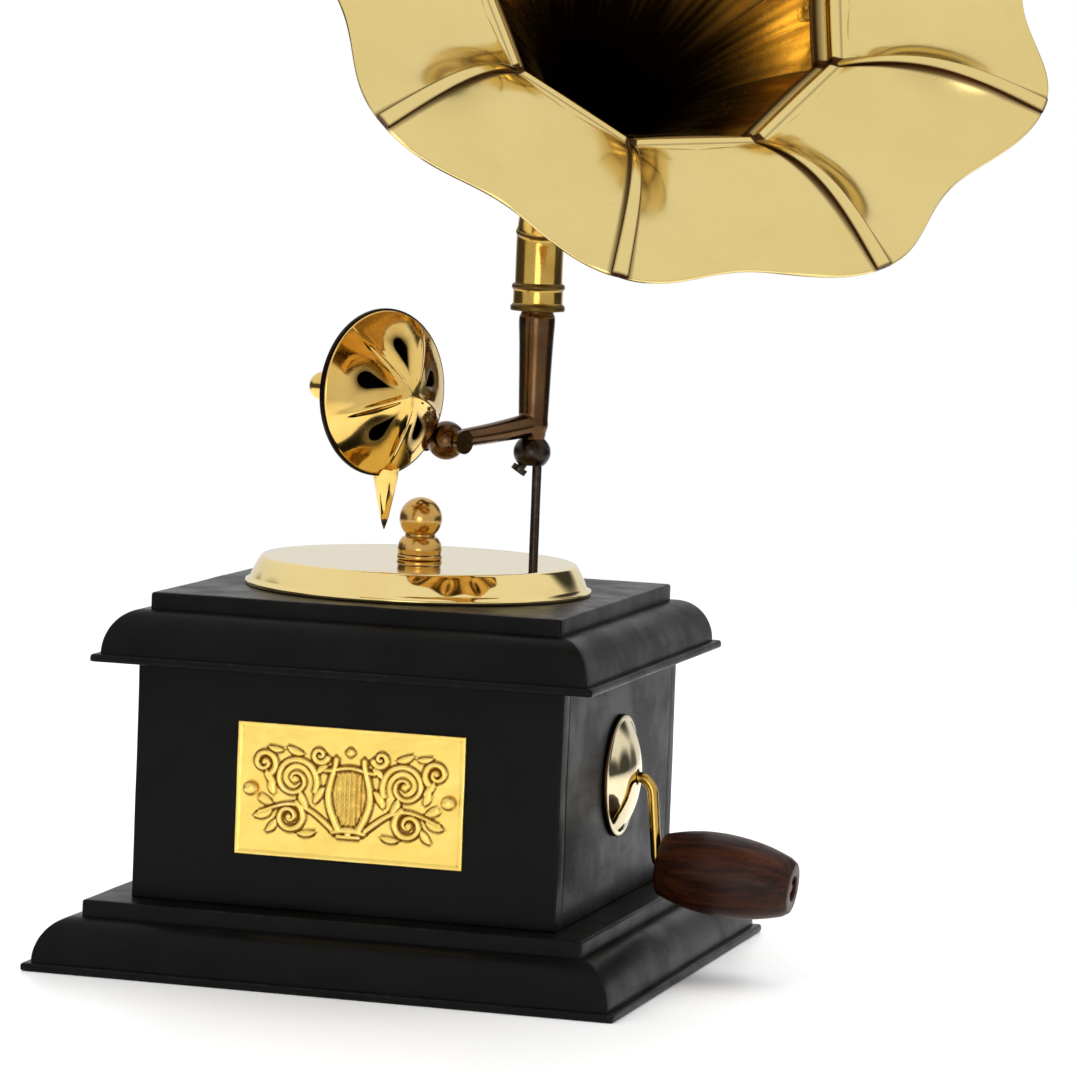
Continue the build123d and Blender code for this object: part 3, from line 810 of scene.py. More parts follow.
class Finishes:
    """Every finish of the gramophone, each made once."""

    def __init__(self) -> None:
        """Makes the shared effects and every material."""
        effects = Effects()
        brass = Slot.POLISHED_BRASS
        kinds = (
            # horn_brass: its dark dirt-and-shade colour paints the shade along the seam beads and down the
            # petals' throat band.
            Metal("horn_brass", brass,
                  (0.775, 0.608, 0.250, 1), (0.72, 0.53, 0.19, 1), (0.060, 0.022, 0.006, 1),
                  polish=0.13, clouding=0.30, size=45.0, bump=0.008, scuffs=0.03, specks=0.02),
            Metal("back_brass", brass,
                  (0.54, 0.325, 0.10, 1), (0.38, 0.20, 0.05, 1), (0.05, 0.02, 0.006, 1),
                  polish=0.16, clouding=0.6, size=60.0, bump=0.02, scuffs=0.05, specks=0.05, stain_and_shade_share=0.25),
            # throat_brass: its near-black dirt-and-shade colour paints the shade deep in the throat.
            Metal("throat_brass", brass,
                  (0.70, 0.47, 0.13, 1), (0.46, 0.22, 0.05, 1), (0.012, 0.005, 0.002, 1),
                  polish=0.08, clouding=0.6, size=90.0, bump=0.05, scuffs=0.05, specks=0.05),
            Metal("neck_brass", brass,
                  (0.585, 0.375, 0.088, 1), (0.44, 0.25, 0.045, 1), (0.030, 0.012, 0.004, 1),
                  polish=0.12, clouding=0.5, size=160.0, bump=0.03, scuffs=0.05, specks=0.08),
            Metal("plate_brass", brass,
                  (0.86, 0.68, 0.30, 1), (0.80, 0.58, 0.20, 1), (0.10, 0.045, 0.012, 1),
                  polish=0.03, clouding=0.3, size=60.0, bump=0.004, scuffs=0.012, specks=0.03),
            Metal("knob_brass", brass,
                  (0.60, 0.36, 0.105, 1), (0.42, 0.22, 0.05, 1), (0.03, 0.012, 0.004, 1),
                  polish=0.17, clouding=0.15, size=120.0, bump=0.006, scuffs=0.04, specks=0.04),
            # box_brass: its near-black dirt-and-shade colour paints the shade round the dome's holes and
            # inside the back.
            Metal("box_brass", brass,
                  (0.82, 0.56, 0.165, 1), (0.66, 0.39, 0.08, 1), (0.010, 0.005, 0.003, 1),
                  polish=0.05, clouding=0.45, size=150.0, bump=0.015, scuffs=0.03, specks=0.05),
            Metal("escutcheon_brass", brass,
                  (0.86, 0.76, 0.50, 1), (0.74, 0.60, 0.33, 1), (0.06, 0.03, 0.012, 1),
                  polish=0.035, clouding=0.5, size=220.0, bump=0.012, scuffs=0.02, specks=0.05),
            Metal("arm_bronze", Slot.AGED_BRONZE,
                  (0.120, 0.064, 0.028, 1), (0.060, 0.029, 0.014, 1),
                  (0.008, 0.005, 0.003, 1), polish=0.17, clouding=0.6, size=110.0, bump=0.02, scuffs=0.05,
                  worn=(0.20, 0.10, 0.035, 1)),
            Metal("plaque_gilt", Slot.GILT_PLAQUE,
                  (0.90, 0.66, 0.17, 1), (0.86, 0.58, 0.12, 1),
                  (0.17, 0.060, 0.008, 1), polish=0.30, clouding=0.5, size=150.0, bump=0.05, specks=0.05,
                  worn=(0.98, 0.84, 0.40, 1)),
            Metal("blacked_steel", Slot.DARK_STEEL,
                  (0.040, 0.030, 0.024, 1), (0.022, 0.016, 0.013, 1),
                  (0.006, 0.005, 0.004, 1), polish=0.26, clouding=0.7, size=400.0, bump=0.08,
                  worn=(0.25, 0.19, 0.13, 1)),
            Metal("zinc_plate", Slot.ZINC_STEEL,
                  (0.62, 0.62, 0.60, 1), (0.48, 0.46, 0.42, 1), (0.10, 0.08, 0.06, 1),
                  polish=0.3, clouding=0.6, size=500.0, bump=0.12),
            # black_paint: its lighter rubbed colour is partly a painted highlight on the edges.
            Paint("black_paint", Slot.BLACK_WOOD, (0.0028, 0.0028, 0.0026, 1), (0.022, 0.019, 0.016, 1),
                  (0.0065, 0.0063, 0.0060, 1)),
            Wood("bare_pine", Slot.BARE_WOOD,
                 (0.60, 0.42, 0.24, 1), (0.38, 0.23, 0.11, 1), gloss=0.6, varnish=0.0,
                 along=(1.0, 1.0, 0.06)),
            Wood("handle_wood", Slot.RED_BROWN_WOOD,
                 (0.056, 0.0150, 0.0052, 1), (0.010, 0.0030, 0.0015, 1), gloss=0.36,
                 varnish=0.12, tilt=-0.105),
        )
        self.slots = {kind.name: kind.slot for kind in kinds}
        self.materials = {kind.name: kind.make(effects) for kind in kinds}


# ---------------------------------------------------------------- workshop


def linked(name: str, data: bpy.types.ID) -> bpy.types.Object:
    """Makes an object in the scene.

    Args:
        name: its name.
        data: its mesh, light or camera.

    Returns:
        The object.
    """
    obj = bpy.data.objects.new(name, data)
    bpy.context.scene.collection.objects.link(obj)
    return obj


def stand(obj: bpy.types.Object, x: Array, y: Array, z: Array, at: Sequence[float]) -> None:
    """Places a light or camera.

    Args:
        obj: the light or camera.
        x: the direction of its x.
        y: the direction of its y.
        z: the direction of its z, which it looks away from.
        at: its place, in metres.
    """
    turn = np.eye(4)
    turn[:3, 0], turn[:3, 1], turn[:3, 2], turn[:3, 3] = x, y, z, at
    obj.matrix_world = Matrix(turn.tolist())


class Workshop:
    """Turns skins into finished pieces, and dresses the CAD nodes that stay."""

    def __init__(self) -> None:
        """Makes the finishes."""
        self.finishes = Finishes()

    def piece(
        self,
        name: str,
        skin: Skin,
        finish: str,
        body: Body,
        stands_for: Sequence[str],
        sharp: float = 38.0,
        shell: float = 0.0,
        outward: bool = True,
    ) -> bpy.types.Object:
        """Makes one piece and puts it on its body.

        Args:
            name: the piece's name.
            skin: its surfaces.
            finish: its finish's name.
            body: the body it rides on.
            stands_for: the CAD nodes it replaces.
            sharp: the angle in degrees over which its edges are sharp.
            shell: the wall thickness given to an open skin, in millimetres, behind its faces.
            outward: whether faces are turned outwards by their own neighbours.

        Returns:
            The piece's object.
        """
        mesh = skin.mesh(name, sharp, outward)
        obj = linked(name, mesh)
        mesh.materials.append(self.finishes.materials[finish])
        if shell:
            wall = obj.modifiers.new("wall", "SOLIDIFY")
            wall.thickness = shell * MM
            wall.offset = -1.0
            wall.use_even_offset = True
            wall.use_rim = True
        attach(obj, body.value)
        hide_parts(*stands_for)
        log.info("%s: %d faces, rides on %s", name, len(mesh.polygons), body.value)
        return obj

    def back(self, obj: bpy.types.Object, finish: str, rim: bool = False) -> None:
        """Gives a walled piece another finish behind.

        Args:
            obj: the piece, which has a "wall" modifier.
            finish: the finish's name.
            rim: whether its rim takes it too.
        """
        obj.data.materials.append(self.finishes.materials[finish])
        obj.modifiers["wall"].material_offset = 1
        obj.modifiers["wall"].material_offset_rim = int(rim)

    def dress(self, nodes: Iterable[str], finish: str) -> None:
        """Gives CAD nodes that stay their finish.

        Args:
            nodes: the nodes' names.
            finish: the finish's name.
        """
        for name in nodes:
            data = frame["nodes"][name].data
            data.materials.clear()
            data.materials.append(self.finishes.materials[finish])
            log.info("%s: CAD node dressed in %s", name, finish)


# ---------------------------------------------------------------- sub-assemblies


@dataclass
class Case:
    """The wooden case: two boards with mitred mouldings round them, and four walls."""

    lip_height: float = 1.4
    lip_out: float = 1.4
    step: float = 0.8
    moulding_height: float = 9.4
    corner: float = 0.45
    edge: float = 0.55
    sag: float = 0.10
    raised: float = 0.15

    def moulding_profile(self, out: float, z: float) -> Array:
        """The moulding's closed section: a lip, a quarter ellipse over it, a small step.

        Args:
            out: how far the lip stands out from the board.
            z: the height of its underside.

        Returns:
            Points (k, 2) as (outset, height), closed.
        """
        foot = out - self.lip_out
        t = np.linspace(0.0, np.pi / 2, 18)
        rise = self.moulding_height - self.lip_height
        oval = np.stack([self.step + (foot - self.step) * np.cos(t), self.lip_height + rise * np.sin(t)], -1)
        lip = rounded([(0.1, 0), (out, 0), (out, self.lip_height), (foot + 0.1, self.lip_height)], 0.5)
        back = rounded([(self.step, self.moulding_height), (-0.6, self.moulding_height), (-0.6, 0)], 0.2)
        return np.concatenate([lip, oval, back]) + (0, z)

    def moulding(self, board: str, first: str) -> Skin:
        """One moulding, carried round its board.

        Args:
            board: the board's node.
            first: one of the moulding's nodes, for its outer face.

        Returns:
            The skin.
        """
        low, high = box_mm(board)
        edge = box_mm(first)[0][1]
        half = (high - low) / 2
        place = Place.level(((low + high) / 2) * (1, 1, 0))
        profile = self.moulding_profile(-half[1] - edge, low[2])
        grid = framed(profile, half[0], half[1], self.corner, place, along=40)
        return Skin().patch(self.settle(grid), wrap_rows=True)

    def settle(self, grid: Array) -> Array:
        """Makes sanded and painted faces slightly uneven, away from the underside.

        Args:
            grid: points (..., 3) in millimetres.

        Returns:
            The points, moved inwards.
        """
        lift = smoothstep(0.3, 1.2, grid[..., 2] - grid[..., 2].min())
        drift = np.stack([ripple(grid, 34.0, self.sag, seed) for seed in (3, 4, 5)], -1)
        return grid - np.abs(drift) * np.sign(grid - (0, 0, grid[..., 2].mean())) * lift[..., None] * 0.6

    def board(self, node: str, raised: float) -> Skin:
        """A board with softened edges, as a rounded block.

        Args:
            node: the board's node.
            raised: how far its underside is set up from the node's own.

        Returns:
            The skin.
        """
        low, high = box_mm(node)
        half = (high - low) / 2
        place = Place.level(((low + high) / 2) * (1, 1, 0))
        foot = low[2] + raised
        side = rounded([(-3.0, foot), (0, foot), (0, high[2]), (-3.0, high[2])], [0, 0.2, self.edge, 0])
        return Skin().patch(self.settle(capped(framed(side, half[0], half[1], self.corner, place), rows=4)))

    def wall(self, node: str, normal: Array, hole: float = 0.0, hole_z: float = 0.0) -> Skin:
        """A wall panel with softened edges; the right one has a hole for the crank's bush.

        The face runs evenly from the hole's circle to the panel's outline.

        Args:
            node: the panel's node.
            normal: the way it faces.
            hole: the hole's radius, 0 for none.
            hole_z: the hole's height.

        Returns:
            The skin.
        """
        low, high = box_mm(node)
        middle, half = (low + high) / 2, (high - low) / 2
        across = np.cross((0, 0, 1), normal)
        thick = abs(half @ normal)
        place = Place.facing(middle, normal, across)
        side = rounded([(-1.2, -thick), (0, -thick), (0, thick), (-1.2, thick)], [0, 0.2, 0.35, 0])
        rings = framed(side, abs(half @ across), half[2], 0.2, place, along=20)
        if not hole:
            return Skin().patch(self.settle(capped(rings, rows=5)))
        local = (rings - place.origin) @ np.stack([place.x, place.y, place.z]).T
        centre_y = hole_z - middle[2]
        outline = local[0, :, :2] - (0, centre_y)
        angle = np.arctan2(outline[:, 1], outline[:, 0])
        circle = np.stack([hole * np.cos(angle), hole * np.sin(angle) + centre_y], -1)

        def face(depth: float) -> Array:
            """Rings from the hole's circle to the panel's outline.

            Args:
                depth: their depth in the panel.

            Returns:
                Points (6, n, 3) in the panel's frame.
            """
            t = np.linspace(0, 1, 7)[:-1, None, None]
            ends = local[0 if depth < 0 else -1, :, :2]
            flat = circle * (1 - t) + ends * t
            return np.concatenate([flat, np.full(flat.shape[:2] + (1,), depth)], -1)

        loop = np.concatenate([face(-thick), local, face(thick)[::-1]])
        return Skin().patch(place.out(loop), wrap_rows=True)

    def build(self, shop: Workshop) -> None:
        """Makes the case's pieces.

        Args:
            shop: the workshop.
        """
        sides = {"front": (0, -1, 0), "back": (0, 1, 0), "left": (-1, 0, 0), "right": (1, 0, 0)}
        for kind, board in (("plinth_moulding", "base_board"), ("cornice_moulding", "top_board")):
            nodes = [f"{kind}_{side}" for side in sides]
            skin = self.moulding(board, f"{kind}_front")
            shop.piece(f"{kind}_run", skin, "black_paint", Body.BASE, nodes, sharp=50)
        for node, raised in (("base_board", self.raised), ("top_board", 0.0)):
            shop.piece(f"{node}_painted", self.board(node, raised), "black_paint", Body.BASE, [node])
        crank_z = joint_mm("crank_turn")[2]
        bush = box_mm("crank_bush")
        for side, normal in sides.items():
            hole = (bush[1][2] - bush[0][2]) / 2 if side == "right" else 0.0
            skin = self.wall(f"case_{side}", np.array(normal, float), hole, crank_z)
            shop.piece(f"case_wall_{side}", skin, "black_paint", Body.BASE, [f"case_{side}"])
        shop.dress(["corner_posts"], "bare_pine")
        shop.dress(["base_screws", "spindle_washer", "spindle_nut", "rod_washer", "rod_nut"], "zinc_plate")


@dataclass
class Turntable:
    """The bevelled brass plate, its knob and the thin rod that carries the arm."""

    rim_band: float = 0.75
    top_r: float = 29.2
    waist_r: float = 2.75
    foot_h: float = 4.3
    ball_r: float = 3.95
    uneven: float = 0.02

    def plate(self) -> Skin:
        """The plate: a short upright rim, a bowed bevel and a flat polished top.

        Returns:
            The skin.
        """
        low, high = box_mm("turntable_plate")
        r, z0, z1 = (high[0] - low[0]) / 2, low[2], high[2]
        edge = rounded([(0, z0), (r - 0.15, z0), (r, z0 + self.rim_band), (r - 0.9, z0 + 1.25)], 0.25)
        bevel = arc3((r - 0.9, z0 + 1.25), (r - 1.75, z0 + 3.15), (self.top_r, z1 - 0.15), 16)[1:]
        flat_r = self.top_r - 0.25
        top = np.stack([flat_r - np.linspace(0, 1, 24) * flat_r, np.full(24, z1)], -1)
        grid = turned(np.concatenate([edge, bevel, top]), Place.level((0, 0, 0)), 192)
        above = smoothstep(z0 + 0.5, z0 + 2, grid[..., 2])
        grid[..., 2] += ripple(grid, 26.0, self.uneven, 8) * above - self.uneven
        return Skin().patch(grid)

    def knob(self) -> Skin:
        """The knob: a skirted foot, a narrow waist and a round head, turned from one bar.

        Returns:
            The skin.
        """
        low, high = box_mm("spindle_knob")
        z, r = low[2], (high[0] - low[0]) / 2
        ball_z = high[2] - self.ball_r
        foot = rounded(
            [
                (0, z), (r, z), (r, z + 0.75), (r - 0.25, z + 0.9), (r - 0.2, z + 1.3), (r - 0.05, z + 2.0),
                (r - 0.35, z + 3.3), (self.waist_r + 0.5, z + self.foot_h - 0.2),
                (self.waist_r, z + self.foot_h),
            ],
            0.5, 6,
        )
        start = np.arccos(self.waist_r / self.ball_r)
        t = np.linspace(-start, np.pi / 2, 26)
        head = np.stack([self.ball_r * np.cos(t), ball_z + self.ball_r * np.sin(t)], -1)
        return Skin().patch(turned(np.concatenate([foot, head]), Place.level((0, 0, 0)), 72))

    def build(self, shop: Workshop) -> None:
        """Makes the plate, the knob and the rod.

        Args:
            shop: the workshop.
        """
        shop.piece("polished_plate", self.plate(), "plate_brass", Body.BASE, ["turntable_plate"], sharp=60)
        shop.piece("turned_knob", self.knob(), "knob_brass", Body.BASE, ["spindle_knob"])
        low, high = box_mm("support_rod")
        middle, r = (low + high) / 2, (high[0] - low[0]) / 2
        z = np.linspace(low[2], high[2], 60)
        path = np.stack([np.full_like(z, middle[0]), np.full_like(z, middle[1]), z], -1)
        radii = r - 0.03 - ripple(path, 9.0, 0.02, 12)
        radii[[0, -1]] = r - 0.35
        rod = Skin().patch(carried(path, radii, np.array([1.0, 0, 0]), 24))
        shop.piece("blacked_rod", rod, "blacked_steel", Body.BASE, ["support_rod"])
        shop.dress(["spindle_stud"], "blacked_steel")


@dataclass(frozen=True)
class Stroke:
    """A raised line on the plaque: its middle line, its half width along it and its height."""

    line: Array
    width: Array
    height: float

    def relief(self, at: Array) -> Array:
        """Height of the line at flat points (n, 2): the most, along it, of h sqrt(1 - (d/w)^2)."""
        apart = ((at[:, None] - self.line[None]) ** 2).sum(-1) / self.width[None] ** 2
        return self.height * np.sqrt(np.clip(1 - apart, 0, 1)).max(1)


@dataclass
class Plaque:
    """The gilt plate on the front wall, pressed with a lyre between leaf scrolls."""

    columns: int = 330
    rows: int = 186
    margin: float = 0.12
    field_share: float = 0.62
    pin_r: float = 1.4
    strokes: list[Stroke] = field(default_factory=list)

    @staticmethod
    def spiral(x: float, y: float, radius: float, start: float, turns: float) -> tuple[Array, Array]:
        """A volute and its widths: radius falls as (1 - 0.86 t), half width as 0.62 - 0.28 t.

        Args:
            x: its middle's place across.
            y: its middle's place up.
            radius: its outer radius.
            start: the angle in degrees where it begins.
            turns: how many turns it makes; below 0 it winds clockwise.

        Returns:
            Its points (n, 2) and half widths (n,).
        """
        t = np.linspace(0, 1, 90)
        angle = np.radians(start) + TAU * turns * t
        reach = radius * (1 - 0.86 * t)
        return np.stack([x + reach * np.cos(angle), y + reach * np.sin(angle)], -1), 0.62 - 0.28 * t

    @staticmethod
    def leaf(x: float, y: float, angle: float, length: float, width: float) -> tuple[Array, Array]:
        """A leaf and its widths: a slightly curved line with half width w sin(pi t)^0.7.

        Args:
            x: its root's place across.
            y: its root's place up.
            angle: its direction in degrees, half way along.
            length: its length.
            width: its half width in the middle.

        Returns:
            Its points (n, 2) and half widths (n,).
        """
        t = np.linspace(0, 1, 26)
        a = np.radians(angle) + 0.7 * (t - 0.5)
        step = np.stack([np.cos(a), np.sin(a)], -1) * length / len(t)
        line = np.array([x, y]) + np.cumsum(step, axis=0)
        return line, width * np.sin(np.pi * np.clip(t, 0.02, 0.98)) ** 0.7 + 0.05

    def ornament(self) -> list[Stroke]:
        """The right half of the ornament; the left half mirrors it.

        Returns:
            Its strokes: the lyre, its strings, the scrolls, the stem, the leaves and the dots.
        """
        t = np.linspace(0, 1, 70)
        arm_x = 1.2 + 2.7 * np.sin(np.pi * (0.12 + 0.80 * t)) ** 1.3 + 1.0 * t**6
        arm = np.stack([arm_x, -6.2 + 12.6 * t], -1)
        bar = np.stack([4.6 * t, 4.55 + 0.35 * np.cos(np.pi * t)], -1)
        sill = np.stack([2.9 * t, -6.3 - 0.5 * t**2], -1)
        foot = np.stack([1.9 * t, np.full_like(t, -7.5)], -1)
        made = [
            Stroke(arm, 0.72 - 0.20 * t, 0.55), Stroke(bar, np.full_like(t, 0.42), 0.50),
            Stroke(sill, 0.70 - 0.25 * t, 0.50), Stroke(foot, np.full_like(t, 0.45), 0.42),
        ]
        for x in (0.45, 1.35, 2.25):
            string = np.stack([np.full_like(t, x), -5.8 + 10.2 * t], -1)
            made.append(Stroke(string, np.full_like(t, 0.13), 0.26))
        for x, y, r, start, turns in (
            (5.7, 6.9, 1.5, 200, 1.3), (10.3, 2.2, 4.3, 205, -1.55), (11.2, -4.6, 2.9, 120, 1.5),
            (16.1, 4.9, 2.3, 230, -1.4),
        ):
            made.append(Stroke(*self.spiral(x, y, r, start, turns), 0.46))
        stem = np.stack([3.2 + 13.6 * t, -6.2 + 3.4 * np.sin(np.pi * t * 1.1) + 4.2 * t**2 - 1.0 * t], -1)
        made.append(Stroke(stem, 0.55 - 0.25 * t, 0.42))
        for x, y, angle, length, width in (
            (6.4, -2.0, 120, 3.6, 0.75), (7.6, -2.9, 62, 3.4, 0.70), (14.2, -2.4, 30, 3.6, 0.80),
            (14.4, -3.6, -20, 3.6, 0.78), (13.6, -5.2, -52, 3.0, 0.70), (14.0, -0.8, 80, 3.2, 0.75),
            (6.2, 3.4, 140, 2.6, 0.60), (13.8, 1.2, 50, 3.0, 0.65), (6.0, -6.9, -8, 3.6, 0.62),
            (8.6, 6.9, 20, 3.4, 0.66), (12.4, 7.4, 8, 3.0, 0.58),
        ):
            made.append(Stroke(*self.leaf(x, y, angle, length, width), 0.40))
        dot = np.zeros((1, 2))
        for x, y, r in (
            (0.0, 7.7, 0.85), (10.3, 2.2, 0.75), (11.2, -4.6, 0.6), (16.1, 4.9, 0.5), (0.0, -7.0, 0.7),
        ):
            made.append(Stroke(dot + (x, y), np.array([r]), 0.58))
        return made

    def relief(self, flat: Array, half_w: float, half_h: float, pin_x: float) -> Array:
        """Height over the field: ornament, a faint raised edge, and slight hammering.

        Args:
            flat: points (rows, cols, 2) on the plate.
            half_w: half the plate's width.
            half_h: half its height.
            pin_x: how far out the pins stand.

        Returns:
            Heights (rows, cols).
        """
        folded = np.stack([np.abs(flat[..., 0]), flat[..., 1]], -1).reshape(-1, 2)
        top = np.zeros(len(folded))
        for stroke in self.strokes:
            top = np.maximum(top, stroke.relief(folded))
        top = top.reshape(flat.shape[:2])
        top *= smoothstep(1.7, 2.5, np.hypot(np.abs(flat[..., 0]) - pin_x, flat[..., 1]))
        inset = np.minimum(half_w - np.abs(flat[..., 0]), half_h - np.abs(flat[..., 1]))
        edge = 0.12 * smoothstep(0.9, 0.5, inset)
        depth = np.stack([flat[..., 0], flat[..., 1], flat[..., 0] * 0], -1)
        return np.maximum(top, edge) + ripple(depth, 2.4, 0.010, 21) + ripple(depth, 11.0, 0.05, 22)

    def build(self, shop: Workshop) -> None:
        """Makes the plate and its two pins.

        Args:
            shop: the workshop.
        """
        self.strokes = self.ornament()
        low, high = box_mm("plaque")
        middle, half = (low + high) / 2, (high - low) / 2
        place = Place.facing((middle[0], high[1], middle[2]), np.array([0.0, -1, 0]), np.array([1.0, 0, 0]))
        pins = box_mm("plaque_pins")
        pin_x = (pins[1][0] - pins[0][0]) / 2 - self.pin_r
        u = np.linspace(-half[0] + self.margin, half[0] - self.margin, self.columns)
        v = np.linspace(-half[2] + self.margin, half[2] - self.margin, self.rows)
        flat = np.stack(np.meshgrid(u, v), -1)
        height = self.relief(flat, half[0], half[2], pin_x) + self.field_share * 2 * half[1]
        around = [np.roll(height, shift, axis) for shift in (-4, 4) for axis in (0, 1)]
        hollow = smoothstep(0.02, 0.16, np.mean(around, axis=0) - height)
        local = np.concatenate([flat, height[..., None]], -1)
        front = place.out(local)
        ring = np.concatenate([local[0, :-1], local[:-1, -1], local[-1, :0:-1], local[:0:-1, 0]])
        skirt = [ring]
        for out, up in ((0.10, 0.5), (self.margin, 0.25), (self.margin, 0.0)):
            grown = ring.copy()
            grown[:, :2] *= 1 + out / np.abs(ring[:, :2]).max(0)
            grown[:, 2] = ring[:, 2] * up / self.field_share
            skirt.append(grown)
        rim = np.stack(skirt)
        back = np.stack([rim[-1], rim[-1] * 0])
        skin = Skin().patch(front, wrap_cols=False, stain=hollow).patch(place.out(rim)).patch(place.out(back))
        shop.piece("pressed_plaque", skin, "plaque_gilt", Body.BASE, ["plaque"], sharp=60)
        heads = Skin()
        for side in (-1, 1):
            centre = (middle[0] + side * pin_x, low[1] - 0.25, middle[2])
            seat = Place.facing(centre, np.array([0.0, -1, 0]), np.array([1.0, 0, 0]))
            shank = [(0, -1.0), (0.5, -1.0), (0.5, -0.02), (1.3, -0.02)]
            dome = arc3((self.pin_r, 0.05), (1.05, 0.55), (0, 0.9), 12)
            heads.patch(turned(np.concatenate([shank, dome]), seat, 32))
        shop.piece("plaque_pin_heads", heads, "plaque_gilt", Body.BASE, ["plaque_pins"])


@dataclass
class Crank:
    """The domed escutcheon, the bent wire and the turned handle on it."""

    droop: float = 6.0
    bend: float = 3.4
    slant: float = 1.5
    handle_l: float = 25.2
    inner_r: float = 5.75
    belly_r: float = 7.65
    outer_r: float = 4.7
    recess: float = 2.3

    def escutcheon(self) -> Skin:
        """A spun disc: a rolled rim, a high dome and a small turned-in hole for the wire.

        Returns:
            The skin, darkened at its rim and its hole.
        """
        low, high = box_mm("escutcheon")
        pivot = joint_mm("crank_turn")
        r, h, x = (high[1] - low[1]) / 2, high[0] - low[0], low[0]
        wire = self.wire_r() + 0.3
        place = Place.facing((x, pivot[1], pivot[2]), np.array([1.0, 0, 0]), np.array([0, 1.0, 0]))
        rim = rounded([(r - 0.8, 0), (r, 0), (r, 0.75), (r - 0.75, 0.72)], 0.45, 6)
        dome = arc3((r - 0.75, 0.72), (r * 0.55, h * 0.76), (wire + 0.5, h), 22)[1:]
        lip = rounded([(wire + 0.5, h), (wire, h - 0.05), (wire, h - 0.6), (wire + 0.5, h - 0.6)], 0.2)
        inside = arc3((wire + 0.5, h - 0.6), (r * 0.55, h * 0.76 - 0.6), (r - 1.5, 0.1), 12)[1:]
        profile = np.concatenate([rim, dome, lip, inside])
        # Darker towards the rim's edge and round the wire's hole.
        tone = smoothstep(r - 0.55, r - 0.15, profile[:, 0]) + smoothstep(wire + 0.35, wire, profile[:, 0])
        stain = np.repeat(tone[:, None], 96, axis=1)
        return Skin().patch(turned(profile, place, 96), wrap_rows=True, stain=stain)

    def wire_r(self) -> float:
        """Returns the wire's radius, from its node's depth."""
        low, high = box_mm("crank_wire")
        return (high[1] - low[1]) / 2

    def build(self, shop: Workshop) -> None:
        """Makes the escutcheon, the wire and the handle.

        Args:
            shop: the workshop.
        """
        shop.piece("spun_escutcheon", self.escutcheon(), "escutcheon_brass", Body.BASE, ["escutcheon"])
        start_x = box_mm("crank_wire")[0][0]
        r = self.wire_r()
        turn_z = joint_mm("crank_turn")[2]
        grip = joint_mm("handle_spin")
        a = np.radians(self.droop)
        out = np.array([np.cos(a), 0, -np.sin(a)])
        arm_x = grip[0] - 0.8
        elbow = grip - out * 0.8
        end = grip + out * (self.handle_l - 1.4)
        runs = np.array([(start_x, 0, turn_z), (arm_x - self.slant, 0, turn_z), elbow, end])
        bends = rounded(runs, [0, self.bend, 1.3, 0], 14)
        wire = Skin().patch(carried(bends, r, np.array([0, 1.0, 0]), 32))
        shop.piece("bent_wire", wire, "neck_brass", Body.CRANK, ["crank_wire"])

        place = Place.facing(grip, out, np.array([0, 1.0, 0]))
        bore = r + 0.06
        length = self.handle_l
        shoulder = (self.outer_r + 0.75, length - 1.3)
        shell = np.concatenate([
            rounded([(bore, 0), (self.inner_r - 0.5, 0), (self.inner_r, 0.55)], 0.5, 6),
            arc3((self.inner_r, 0.55), (self.belly_r, length * 0.42), shoulder, 40)[1:],
            rounded(
                [
                    shoulder, (self.outer_r - 0.1, length - 0.05), (self.outer_r - 0.9, length),
                    (self.recess, length), (self.recess, length - 1.7), (bore, length - 1.7),
                ],
                0.3, 5,
            )[1:],
        ])
        grid = turned(shell, place, 96)
        sunk = np.abs(ripple(grid, 12.0, 0.05, 31))[..., None] * unit_rows(grid, place)
        barrel = Skin().patch(grid - sunk, wrap_rows=True)
        shop.piece("turned_handle", barrel, "handle_wood", Body.HANDLE, ["crank_handle"])
        shop.dress(["crank_rivet"], "arm_bronze")
        shop.dress(["crank_collar", "crank_bush"], "neck_brass")


def unit_rows(grid: Array, place: Place) -> Array:
    """Directions square to the place's z, from its axis to each point.

    Args:
        grid: points (..., 3).
        place: the frame whose z is the axis.

    Returns:
        Vectors (..., 3), with length one, or none within 1.5 mm of the axis.
    """
    apart = grid - place.origin
    apart = apart - (apart @ place.z)[..., None] * place.z
    size = np.linalg.norm(apart, axis=-1, keepdims=True)
    return np.where(size > 1.5, apart / np.maximum(size, 1e-9), 0.0)


